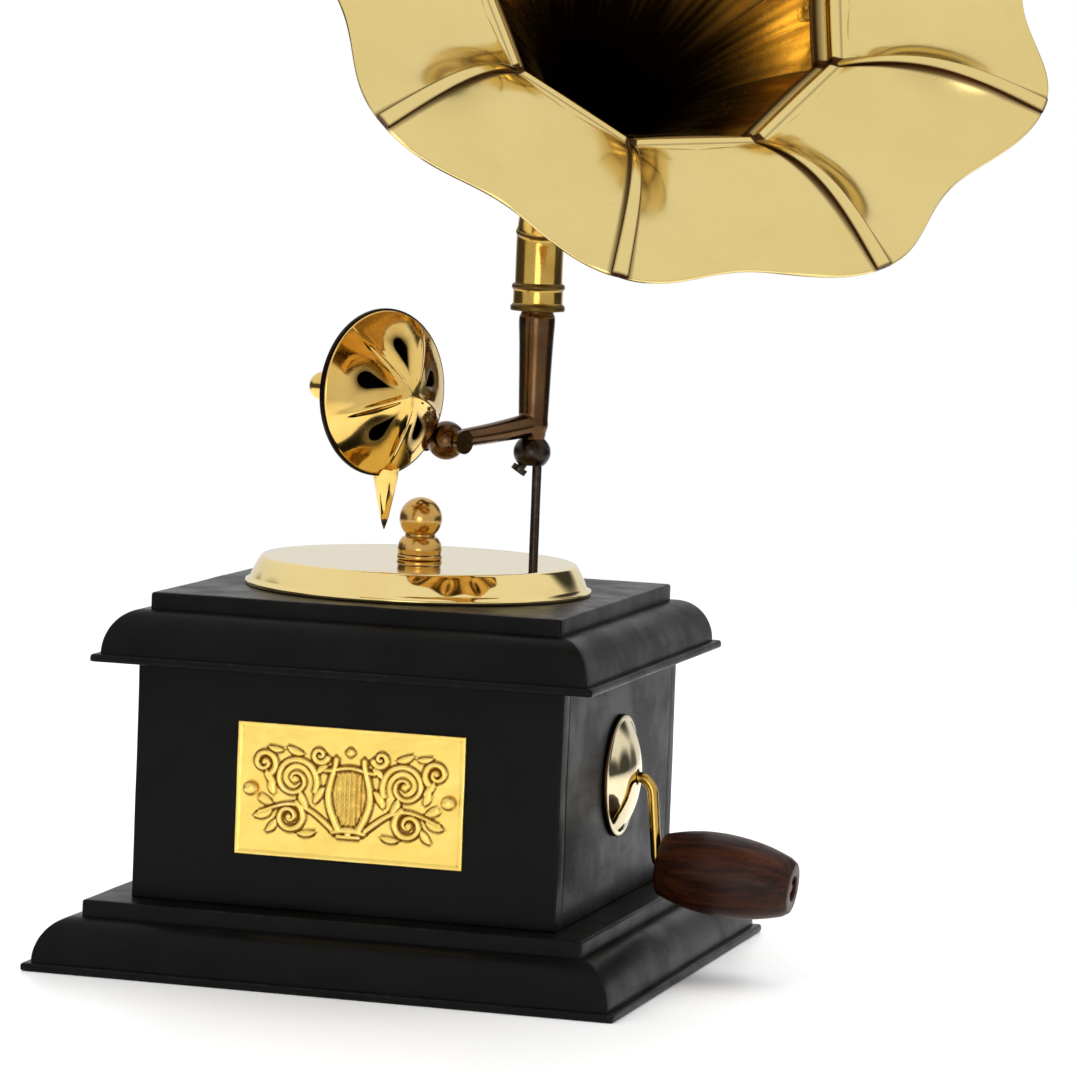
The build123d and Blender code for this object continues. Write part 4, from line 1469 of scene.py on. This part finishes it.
@dataclass
class ToneArm:
    """The cast L-shaped arm with its boss, set screw and end ball."""

    azimuth: float = -118.8
    reach: float = 22.6
    corner_z: float = 97.8
    end_z: float = 95.2
    spigot_r: float = 3.03
    spigot_top: float = 130.0
    boss_r: float = 3.5
    corner_r: float = 2.85
    voxel: float = 0.19

    def casting(self, axis: Array) -> Skin:
        """The casting's overlapping bodies: riser, spigot, corner and branch.

        Args:
            axis: a point on the riser's axis.

        Returns:
            The skin.
        """
        side = heading(self.azimuth + 90)
        corner = np.array([axis[0], axis[1], self.corner_z])
        end = corner + heading(self.azimuth) * self.reach + (0, 0, self.end_z - self.corner_z)
        z = np.array([94.6, 95.4, 97.8, 102, 108, 113, 116.6, 117.9, 118.3])
        r = np.array([2.2, 2.35, 2.75, 2.88, 3.05, 3.22, 3.42, 3.42, 3.25])
        riser = np.stack([np.full_like(z, axis[0]), np.full_like(z, axis[1]), z], -1)
        spigot = np.array([(axis[0], axis[1], q) for q in (117.0, self.spigot_top - 0.5, self.spigot_top)])
        t = np.linspace(0, 1, 14)
        branch = corner + (end - corner) * t[:, None] + np.outer(np.sin(np.pi * t), (0, 0, -0.25))
        ball_t = np.linspace(-1, 1, 13)
        ball = corner + np.outer(ball_t, (0, 0, self.corner_r))
        ball_r = self.corner_r * np.sqrt(np.clip(1 - ball_t**2, 0, 1))
        skin = Skin()
        for path, radii in (
            (riser, r), (spigot, np.array([self.spigot_r, self.spigot_r, self.spigot_r - 0.4])),
            (branch, 2.35 - 0.75 * t**0.8), (ball, ball_r),
        ):
            skin.patch(carried(path, radii, side, 40))
        return skin

    def build(self, shop: Workshop) -> None:
        """Makes the arm, its boss, screw and ball.

        Args:
            shop: the workshop.
        """
        axis = joint_mm("horn_swivel")
        arm = shop.piece("cast_arm", self.casting(axis), "arm_bronze", Body.ARM, ["tone_arm"])
        fuse = arm.modifiers.new("fuse", "REMESH")
        fuse.mode = "VOXEL"
        fuse.voxel_size = self.voxel * MM
        fuse.use_smooth_shade = True
        ease = arm.modifiers.new("ease", "SMOOTH")
        ease.iterations = 16
        apply_modifiers(arm)

        low, high = box_mm("arm_end_ball")
        centre, r = (low + high) / 2, (high - low)[2] / 2
        t = np.linspace(-np.pi / 2, np.pi / 2, 30)
        ball = np.stack([r * np.cos(t), r * np.sin(t)], -1)
        grid = turned(ball, Place.facing(centre, heading(self.azimuth + 90), heading(self.azimuth)), 48)
        shop.piece("arm_ball", Skin().patch(grid), "arm_bronze", Body.ARM, ["arm_end_ball"])

        low, high = box_mm("arm_boss")
        mid, h = (low[2] + high[2]) / 2, (high[2] - low[2]) / 2
        t = np.linspace(-1, 1, 22)
        boss = np.stack([self.boss_r - 1.15 * np.abs(t) ** 2.2, mid + h * t], -1)
        closed = np.concatenate([[(0, mid - h)], boss, [(0, mid + h)]])
        grid = turned(closed, Place.level((axis[0], axis[1], 0)), 48)
        shop.piece("cast_boss", Skin().patch(grid), "blacked_steel", Body.ARM, ["arm_boss"])
        shop.dress(["arm_set_screw"], "blacked_steel")


def apply_modifiers(obj: bpy.types.Object) -> None:
    """Replaces an object's mesh by its evaluated one, smooth, with its bends marked.

    Args:
        obj: the object.
    """
    graph = bpy.context.evaluated_depsgraph_get()
    done = obj.evaluated_get(graph)
    fresh = bpy.data.meshes.new_from_object(done, preserve_all_data_layers=True, depsgraph=graph)
    old = obj.data
    materials = list(old.materials)
    obj.modifiers.clear()
    obj.data = fresh
    fresh.name = old.name + "_cast"
    fresh.materials.clear()
    for material in materials:
        fresh.materials.append(material)
    bpy.data.meshes.remove(old)
    fresh.shade_smooth()
    mark_bends(fresh)


@dataclass
class SoundBox:
    """The sound box: a creased dome with five drop-shaped holes, its ring, back, stub and needle."""

    azimuth: float = -118.8
    dome_r: float = 15.0
    dome_h: float = 7.4
    ring_t: float = 1.2
    bore_r: float = 14.1
    holes: int = 5
    hole_at: float = 8.6
    hole_r: float = 1.55
    tail: float = 3.9
    crease: float = 0.36
    cup_r: float = 14.2
    cup_depth: float = 4.6
    stub_r: float = 2.7
    stub_end: float = 18.4
    needle_x: float = 1.6

    def place(self) -> Place:
        """Returns the sound box's frame: x towards the riser, y up, z out of its face."""
        low, high = box_mm("sound_box_ring")
        return Place.facing((low + high) / 2, heading(self.azimuth + 90), heading(self.azimuth + 180))

    def dome_height(self, flat: Array) -> Array:
        """Height of the dome over flat points.

        It is h (1 - (r/R)^1.45), with a soft ridge added half way between two holes, which fades
        towards the middle and the edge, and a shallow dish taken off round each hole.

        Args:
            flat: points (..., 2).

        Returns:
            Heights (...).
        """
        r = np.hypot(flat[..., 0], flat[..., 1])
        sector = TAU / self.holes
        turn = (np.arctan2(flat[..., 1], flat[..., 0]) - np.pi / 2 + sector / 2) % sector - sector / 2
        dome = self.dome_h * (1 - (np.clip(r, 0, self.dome_r) / self.dome_r) ** 1.45)
        apart = r * np.abs(np.abs(turn) - sector / 2)
        ridge = smoothstep(0.6, 3.5, r) * smoothstep(14.0, 10.5, r)
        crease = self.crease * ridge * np.exp(-((apart / 0.62) ** 2))
        off = np.hypot(r * np.cos(turn) - self.hole_at, r * np.sin(turn))
        dish = 0.42 * np.exp(-((off / 2.9) ** 2))
        return self.ring_t / 2 + dome + crease - dish

    def dome(self, place: Place) -> Skin:
        """The dome as five equal sectors, each running evenly from its hole to its outline.

        From a hole's middle C a ray at angle a leaves the hole at a / cos(b - |a - pi|) near the
        tail and at its radius elsewhere, and leaves the sector where it first meets a side or the
        dome's edge.

        Args:
            place: the sound box's frame.

        Returns:
            The skin, open behind.
        """
        half = np.pi / self.holes
        corner = np.arctan2(self.dome_r * np.sin(half), self.dome_r * np.cos(half) - self.hole_at)
        arc = np.linspace(-corner, corner, 26)[:-1]
        side = corner + (np.pi - corner) * np.linspace(0, 1, 30)[:-1] ** 0.8
        ray = np.concatenate([arc, side, [np.pi], 2 * np.pi - side[:0:-1]])
        way = np.stack([np.cos(ray), np.sin(ray)], -1)
        from_tail = np.abs(ray % TAU - np.pi)
        touch = np.arccos(self.hole_r / self.tail)
        hole = np.where(from_tail < touch, self.hole_r / np.cos(touch - from_tail), self.hole_r)
        along = self.hole_at * way[:, 0]
        rim = -along + np.sqrt(along**2 - self.hole_at**2 + self.dome_r**2)
        for sign in (1, -1):
            line = np.array([np.cos(half), sign * np.sin(half)])
            across = way[:, 0] * line[1] - way[:, 1] * line[0]
            reach = -self.hole_at * line[1] / np.where(np.abs(across) < 1e-9, 1e-9, across)
            rim = np.where((reach > 0) & (reach < rim), reach, rim)
        t = np.linspace(0, 1, 22)[:, None] ** 1.15
        reach = hole * (1 - t) + rim * t
        flat = np.array([self.hole_at, 0]) + reach[..., None] * way
        skin = Skin()
        for k in range(self.holes):
            a = np.pi / 2 + k * TAU / self.holes
            turn = np.array([[np.cos(a), np.sin(a)], [-np.sin(a), np.cos(a)]])
            spun = flat @ turn
            local = np.concatenate([spun, self.dome_height(spun)[..., None]], -1)
            # Painted shade: each hole's edge is darkened, fading out over the dome.
            rings = np.repeat((1 - t) ** 6 * 0.9, len(ray), 1)
            skin.patch(place.out(local), stain=rings)
        return skin

    def build(self, shop: Workshop) -> None:
        """Makes the sound box's pieces.

        Args:
            shop: the workshop.
        """
        place = self.place()
        dome = shop.piece(
            "pressed_dome", self.dome(place), "box_brass", Body.SOUND_BOX, ["sound_box_dome"], shell=0.5,
            sharp=70,
        )
        face_towards(dome, place.z)
        # Painted shade: the dome's back takes the near-black steel finish so that the holes look dark inside.
        shop.back(dome, "blacked_steel")
        low, high = box_mm("sound_box_ring")
        ring_r = (high[2] - low[2]) / 2
        half_t = self.ring_t / 2
        corners = [(self.bore_r, -half_t), (ring_r, -half_t), (ring_r, half_t), (self.bore_r, half_t)]
        section = rounded(corners, 0.4, 6, closed=True)
        edge = np.repeat(smoothstep(ring_r - 0.75, ring_r - 0.30, section[:, :1]), 120, axis=1)
        rim = Skin().patch(turned(section, place, 120), wrap_rows=True, stain=edge)
        shop.piece("sound_box_rim", rim, "box_brass", Body.SOUND_BOX, ["sound_box_ring"])

        back = -half_t - self.cup_depth
        wall = 0.6
        small = self.cup_r - 3.8
        corners = [(self.cup_r, -half_t), (self.cup_r, -1.4), (small, back), (0, back)]
        outer = rounded(corners, [0, 0.6, 1.2, 0], 10)
        inner = outer[::-1] - (wall, 0) + (0, wall) * (outer[::-1, 1:] < -half_t - 0.1)
        inner[:, 0] = np.maximum(inner[:, 0], 0)
        cup = turned(np.concatenate([outer, inner]), place, 96)
        # Painted shade: the back's inner face is fully darkened.
        inner_shade = np.repeat([[0.0], [1.0]], [len(outer), len(inner)], axis=0)
        skin = Skin().patch(cup, wrap_rows=True, stain=inner_shade)
        shop.piece("spun_back", skin, "box_brass", Body.SOUND_BOX, ["sound_box_cup"])

        t = np.linspace(0, np.pi / 2, 12)
        end = np.stack([self.stub_r * np.cos(t), -self.stub_end + self.stub_r * (1 - np.sin(t))], -1)
        collar = rounded([(0, back), (4.0, back), (4.0, back - 0.9), (self.stub_r, back - 1.3)], 0.35, 5)
        stub = Skin().patch(turned(np.concatenate([collar, end]), place, 56))
        shop.piece("rounded_stub", stub, "box_brass", Body.SOUND_BOX, ["sound_box_stub"])

        tip = box_mm("needle_cone")[0][2] - place.origin[2]
        point = box_mm("needle")[0][2] - place.origin[2]
        root = place.origin + self.needle_x * place.x
        down = Place.facing(root, np.array([0, 0, -1.0]), place.x)
        cone = rounded(
            [(0, 12.6), (2.5, 12.6), (2.3, 15.4), (0.72, -tip), (0, -tip)],
            [0, 0.3, 1.5, 0.2, 0], 9,
        )
        grid = turned(cone, down, 40)
        over = (grid - place.origin) @ place.y + self.bore_r - 0.2
        grid = grid - place.y * np.maximum(over, 0)[..., None]
        shop.piece("needle_holder", Skin().patch(grid), "box_brass", Body.SOUND_BOX, ["needle_cone"])
        needle = np.array([
            (0, -tip - 3.0), (0.65, -tip - 3.0), (0.65, -tip), (0.5, -tip + 0.6), (0.1, -point), (0, -point),
        ])
        pin = Skin().patch(turned(needle, down, 24))
        shop.piece("steel_needle", pin, "blacked_steel", Body.SOUND_BOX, ["needle"])
        shop.dress(["pivot_strap", "pivot_spacer", "pivot_screw"], "arm_bronze")


def face_towards(obj: bpy.types.Object, way: Array) -> None:
    """Turns an open sheet's faces so that most of them look along a direction.

    Args:
        obj: the sheet.
        way: the direction.
    """
    mesh = obj.data
    normals = np.zeros(len(mesh.polygons) * 3)
    areas = np.zeros(len(mesh.polygons))
    mesh.polygons.foreach_get("normal", normals)
    mesh.polygons.foreach_get("area", areas)
    if (normals.reshape(-1, 3) @ way) @ areas < 0:
        mesh.flip_normals()
        mark_bends(mesh)


@dataclass
class Horn:
    """The horn: neck, bend, cone, nine petals and the beads over their seams."""

    azimuth: float = -58.4
    tilt: float = 30.7
    bend_r: float = 11.0
    reach: float = 97.0
    mouth_r: float = 68.3
    throat_r: float = 34.6
    throat_depth: float = 13.5
    petals: int = 9
    first_seam: float = 213.8
    rise: float = 5.75
    roll: float = 1.0
    scallop: float = 0.09
    set_back: float = 4.7
    cone_power: float = 2.2
    wall: float = 0.6
    bead_half_angle: float = 1.3
    bead_t: float = 0.62
    joint_at: float = 0.22
    bead_sides: int = 28
    band: float = 6.6
    band_bead: float = 0.85
    neck_r: float = 4.45
    neck_bore: float = 3.11
    cone_wall: float = 0.7

    def bend_z(self) -> float:
        """Returns the height where the neck's axis meets the horn's: neck top + r tan(turn / 2)."""
        return box_mm("horn_neck")[1][2] + self.tangent()

    def tangent(self) -> float:
        """Returns how far the bend's ends lie from its corner."""
        return self.bend_r * np.tan(np.radians((90 - self.tilt) / 2))

    def axis(self) -> Array:
        """Returns the horn's direction, out of its mouth."""
        t = np.radians(self.tilt)
        return heading(self.azimuth) * np.cos(t) + (0, 0, np.sin(t))

    def mouth(self) -> Place:
        """Finds the horn's frame.

        Returns:
            A frame with its origin at the mouth's middle, z out of it and x level.
        """
        riser = joint_mm("horn_swivel")
        corner = np.array([riser[0], riser[1], self.bend_z()])
        return Place.facing(corner + self.axis() * self.reach, self.axis(), heading(self.azimuth + 90))

    def front(self, s: Array, lobe: Array) -> tuple[Array, Array]:
        """The petals' front face.

        With s from throat 0 to rim 1: r = r0 + span s, h = -depth (1-s) + 4 rise s (1-s)
        + 8 roll s (1-s)(1-2s), less set_back lobe s^1.6.

        Args:
            s: place along the petal.
            lobe: 0 at a seam, 1 in the petal's middle.

        Returns:
            Radius and height.
        """
        span = self.mouth_r - self.throat_r
        bow = s * (1 - s)
        height = -self.throat_depth * (1 - s) + 4 * self.rise * bow + 8 * self.roll * bow * (1 - 2 * s)
        return self.throat_r + span * s, height - self.set_back * lobe * np.clip(s, 0, 2) ** 1.6

    def rim_share(self, lobe: Array) -> Array:
        """Returns s at the scalloped rim."""
        return (self.mouth_r * (1 - self.scallop * lobe) - self.throat_r) / (self.mouth_r - self.throat_r)

    def spun(self, place: Place, radius: Array, height: Array, turn: Array) -> Array:
        """Returns points at a radius, height and turn in the horn's frame."""
        x, y = radius * np.cos(turn), radius * np.sin(turn)
        return place.out(np.stack([x, y, height + radius * 0], -1))

    def facet(self, across: Array) -> Array:
        """Returns cos(pi/n) / cos(pi/n (2x - 1)): how far a straight side lies in from its ring."""
        half = np.pi / self.petals
        return np.cos(half) / np.cos(half * (2 * across - 1))

    def petal(self, place: Place, k: int) -> Skin:
        """One petal: a beaded band down into the throat, then a flat panel between two bowed seams.

        The panel runs straight from the throat's side to the scalloped rim; the seams' bow
        is added to it times 0.06 + 0.94 |2x - 1|^3.2, with x from seam to seam. The band follows
        the cone, lifted by a round bead and a lower one behind it.

        Args:
            place: the horn's frame.
            k: which petal.

        Returns:
            The skin, open behind.
        """
        across = np.linspace(0, 1, 81)
        sector = TAU / self.petals
        turn = np.radians(self.first_seam) + (k + across) * sector
        lobe = (1 - np.cos(TAU * across)) / 2
        inner = self.throat_r * self.facet(across)
        rim_h = self.front(self.rim_share(lobe), lobe)[1]
        t = np.linspace(0, 1, 58)[:, None] ** 0.9
        bow = t * (1 - t) * (4 * self.rise + 8 * self.roll * (1 - 2 * t))
        radius = inner + (self.mouth_r * (1 - self.scallop * lobe) - inner) * t
        height = -self.throat_depth + (rim_h + self.throat_depth) * t
        height = height + bow * (0.06 + 0.94 * np.abs(2 * across - 1) ** 3.2)
        down = np.linspace(self.band, 0, 40)[:-1, None]
        high_bead, low_bead = np.exp(-(((down - 1.7) / 1.1) ** 2)), np.exp(-(((down - 4.9) / 0.8) ** 2))
        lift = self.band_bead * (high_bead + 0.5 * low_bead)
        band_r = (inner - down * 0.674 - lift * 0.739) + 0 * across
        band_h = -self.throat_depth - down * 0.739 + lift * 0.674 + 0 * across
        radius, height = np.vstack([band_r, radius]), np.vstack([band_h, height])
        grid = self.spun(place, radius, height, turn)
        calm = smoothstep(0.0, 0.15, np.sin(np.pi * across))
        grid = grid + (ripple(grid, 30.0, 0.07, 40 + k) * calm)[..., None] * place.z
        # Painted shade: the petal darkens in a narrow line along each seam bead's edge.
        seam = radius * np.minimum(across, 1 - across) * sector
        edge = radius * np.radians(self.bead_half_angle)
        stain = smoothstep(0.40, 0.10, seam - edge)
        # Painted shade: a dark line in the fold at the panel's inner edge, and the band darkening deeper down
        # into the throat.
        fold_and_throat_shade = 0.5 * smoothstep(0.45, 0.0, np.abs(down - 0.2)) + 0.9 * smoothstep(2.8, 5.2, down)
        stain = np.maximum(stain, np.vstack([fold_and_throat_shade, t * 0]))
        return Skin().patch(grid, wrap_cols=False, stain=stain)

    def bead(self, place: Place, k: int) -> Array:
        """One seam bead: a half-round section carried from the throat to the rim.

        A section's point is at turn x * half angle and lift t * y, where (x, y) goes round a
        half ellipse and back shallowly underneath, and the lift is square to the front face.

        Args:
            place: the horn's frame.
            k: which seam.

        Returns:
            A grid that wraps along its second direction.
        """
        s = np.concatenate([[-0.03], np.linspace(0, 1, 60)])[:, None]
        radius, height = self.front(s, 0 * s)
        step_r, step_h = np.gradient(radius[:, 0]), np.gradient(height[:, 0])
        size = np.hypot(step_r, step_h)[:, None]
        a = np.linspace(0, TAU, self.bead_sides, endpoint=False)
        y = np.where(np.sin(a) > 0, np.abs(np.sin(a)) ** 0.75, 0.35 * np.sin(a))
        lift = self.bead_t * y[None]
        turn = np.radians(self.first_seam + 360 / self.petals * k + self.bead_half_angle * np.cos(a))[None]
        radius_out = radius - lift * step_h[:, None] / size
        return self.spun(place, radius_out, height + lift * step_r[:, None] / size, turn + 0 * radius)

    def cone(self, place: Place) -> tuple[Array, Array]:
        """The cone's inner face: r = r0 + (r1 - r0) u^p, drawn in between the seams, cusped at them.

        Args:
            place: the horn's frame.

        Returns:
            A grid that wraps along its second direction, and its stain-and-shade mark: dark seam lines, and
            painted shade deeper down the throat.
        """
        u = np.linspace(0, 1, 90)[:, None]
        turn = np.linspace(0, TAU, self.petals * 32, endpoint=False)[None]
        low = self.neck_r - self.cone_wall
        high = self.throat_r + 1.35
        root = -self.reach + self.tangent()
        top = -self.throat_depth + 0.5
        turns = (turn - np.radians(self.first_seam)) * self.petals / TAU
        straight = 1 - (1 - self.facet(turns % 1.0)) * u**1.5 - 0.012 * np.abs(np.sin(TAU * turns)) * u
        radius = (low + (high - low) * u**self.cone_power) * straight
        cusp = np.abs(np.sin(np.pi * turns))
        # Painted shade: the inner face darkens towards the neck, its edge broken into streaks; the dark lines
        # at the cusps are the seams.
        shade_streak = 0.08 * np.sin(23 * turn + 1.0) * np.sin(37 * turn) + 0.02 * np.sin(71 * turn)
        deep = smoothstep(0.0, 0.34, 0.94 - u + shade_streak)
        stain = np.maximum(smoothstep(0.12, 0.02, cusp) * 0.85, deep * 0.97)
        return self.spun(place, radius, root + (top - root) * u, turn + 0 * u), stain

    def neck(self, riser: Array) -> Skin:
        """The neck: a plain socket with its bore, closed above the arm's spigot.

        Args:
            riser: a point on its axis.

        Returns:
            The skin.
        """
        low, high = box_mm("horn_neck")
        r, bore, top, roof = self.neck_r, self.neck_bore, high[2] + 0.3, low[2] + 11.3
        outer = rounded([(bore, low[2]), (r, low[2]), (r, top), (2.5, top)], [0, 0.2, 0.2, 0])
        section = np.concatenate([outer, [(2.5, roof), (bore, roof)]])
        return Skin().patch(turned(section, Place.level((riser[0], riser[1], 0)), 64), wrap_rows=True)

    def build(self, shop: Workshop) -> None:
        """Makes the horn's pieces.

        Args:
            shop: the workshop.
        """
        riser = joint_mm("horn_swivel")
        place = self.mouth()
        shop.piece("neck_tube", self.neck(riser), "neck_brass", Body.HORN, ["horn_neck"])
        low, high = box_mm("neck_ring")
        r = (high[0] - low[0]) / 2
        bottom, top = low[2], high[2]
        band = rounded(
            [
                (4.3, bottom), (r, bottom), (r, bottom + 1.0), (r - 0.45, bottom + 1.3),
                (r - 0.45, top - 1.4), (r - 0.1, top - 1.0), (r - 0.15, top - 0.35), (4.3, top),
            ],
            0.3, 5, closed=True,
        )
        # Both flanges of the band are darkened.
        darker_flanges = smoothstep(1.1, 0.5, np.abs(band[:, 1] - bottom - 0.6))
        darker_flanges = darker_flanges + smoothstep(1.0, 0.5, np.abs(band[:, 1] - top + 0.6))
        grid = turned(band, Place.level((riser[0], riser[1], 0)), 64)
        ring = Skin().patch(grid, wrap_rows=True, stain=0.85 * np.repeat(darker_flanges[:, None], 64, axis=1))
        shop.piece("neck_band", ring, "neck_brass", Body.HORN, ["neck_ring"])

        out = heading(self.azimuth)
        side = heading(self.azimuth + 90)
        top = box_mm("horn_neck")[1][2]
        hub = np.array([riser[0], riser[1], top]) + out * self.bend_r
        turn = np.linspace(0, np.radians(90 - self.tilt), 60)[:, None]
        path = hub - out * self.bend_r * np.cos(turn) + np.array([0, 0, 1]) * self.bend_r * np.sin(turn)
        joint = np.exp(-(((turn[:, 0] - self.joint_at) / 0.045) ** 2))
        bend = carried(path, self.neck_r + 0.22 * joint, side, 56)
        soldered = np.repeat(np.concatenate([[0], joint, [0]])[:, None], 56, axis=1)
        cuff_path = path[-1] + self.axis() * np.linspace(-1.6, 2.2, 8)[:, None]
        cuff = carried(cuff_path, self.neck_r + 0.3 - 0.3 * np.abs(np.linspace(-1, 1, 8)) ** 4, side, 56)
        skin = Skin().patch(bend, stain=soldered).patch(cuff)
        shop.piece("neck_bend", skin, "neck_brass", Body.HORN, ["horn_bend"])

        grid, stain = self.cone(place)
        skin = Skin().patch(grid, stain=stain)
        cone = shop.piece(
            "panelled_cone", skin, "throat_brass", Body.HORN, ["horn_cone"], outward=False, sharp=80
        )
        self.face_axis(cone, place)
        wall = cone.modifiers.new("wall", "SOLIDIFY")
        wall.thickness, wall.offset = self.cone_wall * MM, -1.0
        shop.back(cone, "back_brass", rim=True)

        for k in range(self.petals):
            petal = shop.piece(
                f"horn_petal_{k + 1}", self.petal(place, k), "horn_brass", Body.HORN, [f"petal_{k + 1}"],
                shell=self.wall, outward=False, sharp=80,
            )
            face_towards(petal, place.z)
            shop.back(petal, "back_brass")
        beads = Skin()
        a = np.linspace(0, TAU, self.bead_sides, endpoint=False)
        for k in range(self.petals):
            grid = self.bead(place, k)
            # Painted shade: each bead darkens along both feet, where it meets the petals, and over its end at
            # the rim.
            foot = smoothstep(0.70, 0.90, np.abs(np.cos(a)))[None] + np.zeros((len(grid), 1))
            foot[-1] = 1.0
            stain = np.concatenate([foot[:1], foot[:1], foot, foot[-1:], foot[-1:]])
            beads.patch(capped(grid), stain=stain)
        shop.piece("seam_beads", beads, "horn_brass", Body.HORN, ["seam_ribs"], sharp=60)

    @staticmethod
    def face_axis(obj: bpy.types.Object, place: Place) -> None:
        """Turns a tube's faces inwards, to its axis.

        Args:
            obj: the tube.
            place: the frame whose z is its axis.
        """
        mesh = obj.data
        count = len(mesh.polygons)
        normal, centre = np.zeros(count * 3), np.zeros(count * 3)
        mesh.polygons.foreach_get("normal", normal)
        mesh.polygons.foreach_get("center", centre)
        out = unit_rows(centre.reshape(-1, 3) / MM, place)
        if (normal.reshape(-1, 3) * out).sum() > 0:
            mesh.flip_normals()
            mark_bends(mesh)


# ---------------------------------------------------------------- studio


@dataclass(frozen=True)
class Card:
    """A soft-edged card in the studio's surroundings, seen from the object."""

    azimuth: float
    elevation: float
    spread: float
    softness: float
    level: float


@dataclass
class Studio:
    """A pale floor, soft light all round, a few bright and dark cards, and the camera."""

    eye: tuple[float, float, float] = (0.284129, -0.924113, 0.163808)
    yaw: float = 15.795
    pitch: float = -5.086
    roll: float = 2.234
    lens: float = 175.59
    sensor: float = 36.0
    floor_r: float = 4.0
    cards: tuple[Card, ...] = (
        Card(-165, -1, 15, 10, 0.08),
        Card(170, -1, 17, 10, 0.08),
        Card(146, -1, 9, 8, 0.10),
        Card(18, -4, 12, 8, 0.07),
        Card(40, -4, 13, 8, 0.06),
        Card(60, -4, 9, 8, 0.10),
        Card(66, 24, 14, 10, 0.05),
        Card(-80, 0, 12, 8, 3.2),
    )

    def camera(self) -> None:
        """Places the camera: forward from yaw and pitch, then rolled about it."""
        yaw, pitch, roll = np.radians([self.yaw, self.pitch, self.roll])
        fore = np.array([-np.sin(yaw) * np.cos(pitch), np.cos(yaw) * np.cos(pitch), np.sin(pitch)])
        level = np.array([np.cos(yaw), np.sin(yaw), 0.0])
        upright = np.cross(level, fore)
        right = np.cos(roll) * level + np.sin(roll) * upright
        up = np.cos(roll) * upright - np.sin(roll) * level
        data = bpy.data.cameras.new("camera")
        data.lens, data.sensor_width, data.clip_start, data.clip_end = self.lens, self.sensor, 0.02, 30.0
        eye = linked("camera", data)
        stand(eye, right, up, -fore, self.eye)
        bpy.context.scene.camera = eye

    def floor(self) -> None:
        """A wide pale disc that fades into the white round it."""
        profile = np.array([(0, 0), (200, 0), (600, 0), (1500, 0), (self.floor_r / MM, 0)], float)
        disc = turned(profile, Place.level((0, 0, -0.05)), 64)
        mesh = Skin().patch(disc).mesh("floor", 30, outward=False)
        floor = linked("floor", mesh)
        material = bpy.data.materials.new("floor_white")
        g = cleared(material)
        at = g.node("ShaderNodeTexCoord").outputs["Object"]
        apart = g.node("ShaderNodeVectorMath", {0: at}, operation="LENGTH").outputs["Value"]
        look = {"Base Color": (0.93, 0.93, 0.93, 1), "Roughness": 0.32, "Specular IOR Level": 0.35}
        matt = g.node("ShaderNodeBsdfPrincipled", look)
        clear = g.node("ShaderNodeBsdfTransparent")
        fade = g.between(apart, 0.22, 0.8)
        mixed = g.node("ShaderNodeMixShader", {0: fade, 1: matt.outputs[0], 2: clear.outputs[0]})
        g.node("ShaderNodeOutputMaterial", {"Surface": mixed.outputs[0]})
        mesh.materials.append(material)
        if mesh.polygons[0].normal.z < 0:
            mesh.flip_normals()

    def surroundings(self) -> None:
        """White to the camera; to the object, a soft gradient with the cards laid over it in turn."""
        world = bpy.data.worlds.new("studio")
        g = cleared(world)
        way = g.node("ShaderNodeTexCoord").outputs["Generated"]
        height = g.node("ShaderNodeSeparateXYZ", {0: way}).outputs["Z"]
        level = g.between(height, -0.1, 0.6, 0.78, 0.95)
        for card in self.cards:
            e = np.radians(card.elevation)
            middle = heading(card.azimuth) * np.cos(e) + (0, 0, np.sin(e))
            dot = g.node("ShaderNodeVectorMath", {0: way, 1: tuple(middle)}, operation="DOT_PRODUCT")
            edges = np.cos(np.radians([card.spread + card.softness / 2, card.spread - card.softness / 2]))
            mask = g.between(dot.outputs["Value"], float(edges[0]), float(edges[1]))
            level = g.node("ShaderNodeMix", {0: mask, 2: level, 3: card.level}, data_type="FLOAT").outputs[0]
        lit = g.node("ShaderNodeBackground", {"Color": level, "Strength": 1.0})
        seen = g.node("ShaderNodeBackground", {"Color": (1, 1, 1, 1), "Strength": 1.0})
        path = g.node("ShaderNodeLightPath").outputs["Is Camera Ray"]
        mixed = g.node("ShaderNodeMixShader", {0: path, 1: lit.outputs[0], 2: seen.outputs[0]})
        g.node("ShaderNodeOutputWorld", {"Surface": mixed.outputs[0]})
        bpy.context.scene.world = world

    def lamps(self) -> None:
        """Three soft boxes: above to the left, above to the right, and a low fill from behind."""
        boxes = (("key", (-0.55, -0.55, 0.95), 0.7, 6.0), ("top", (0.35, 0.25, 1.10), 0.9, 7.0),
                 ("back", (-0.5, 0.9, 0.5), 0.7, 3.0))
        for name, at, size, power in boxes:
            data = bpy.data.lights.new(name, "AREA")
            data.shape, data.size, data.energy = "SQUARE", size, power
            lamp = linked(name, data)
            lamp.visible_glossy = False
            away = unit(np.array(at) - (0.02, -0.02, 0.1))
            turn = Place.facing(np.array(at), away, np.array([1.0, 0.2, 0]))
            stand(lamp, turn.x, turn.y, turn.z, at)

    def build(self) -> None:
        """Sets up the studio."""
        self.camera()
        self.floor()
        self.surroundings()
        self.lamps()
        bpy.context.scene.view_settings.view_transform = "Standard"
        log.info("studio ready")


def main() -> None:
    """Builds every sub-assembly and the studio."""
    logging.basicConfig(level=logging.INFO, format="%(message)s")
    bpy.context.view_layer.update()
    shop = Workshop()
    for assembly in (Case(), Turntable(), Plaque(), Crank(), ToneArm(), SoundBox(), Horn()):
        assembly.build(shop)
    Studio().build()


if __name__ == "__main__":
    main()
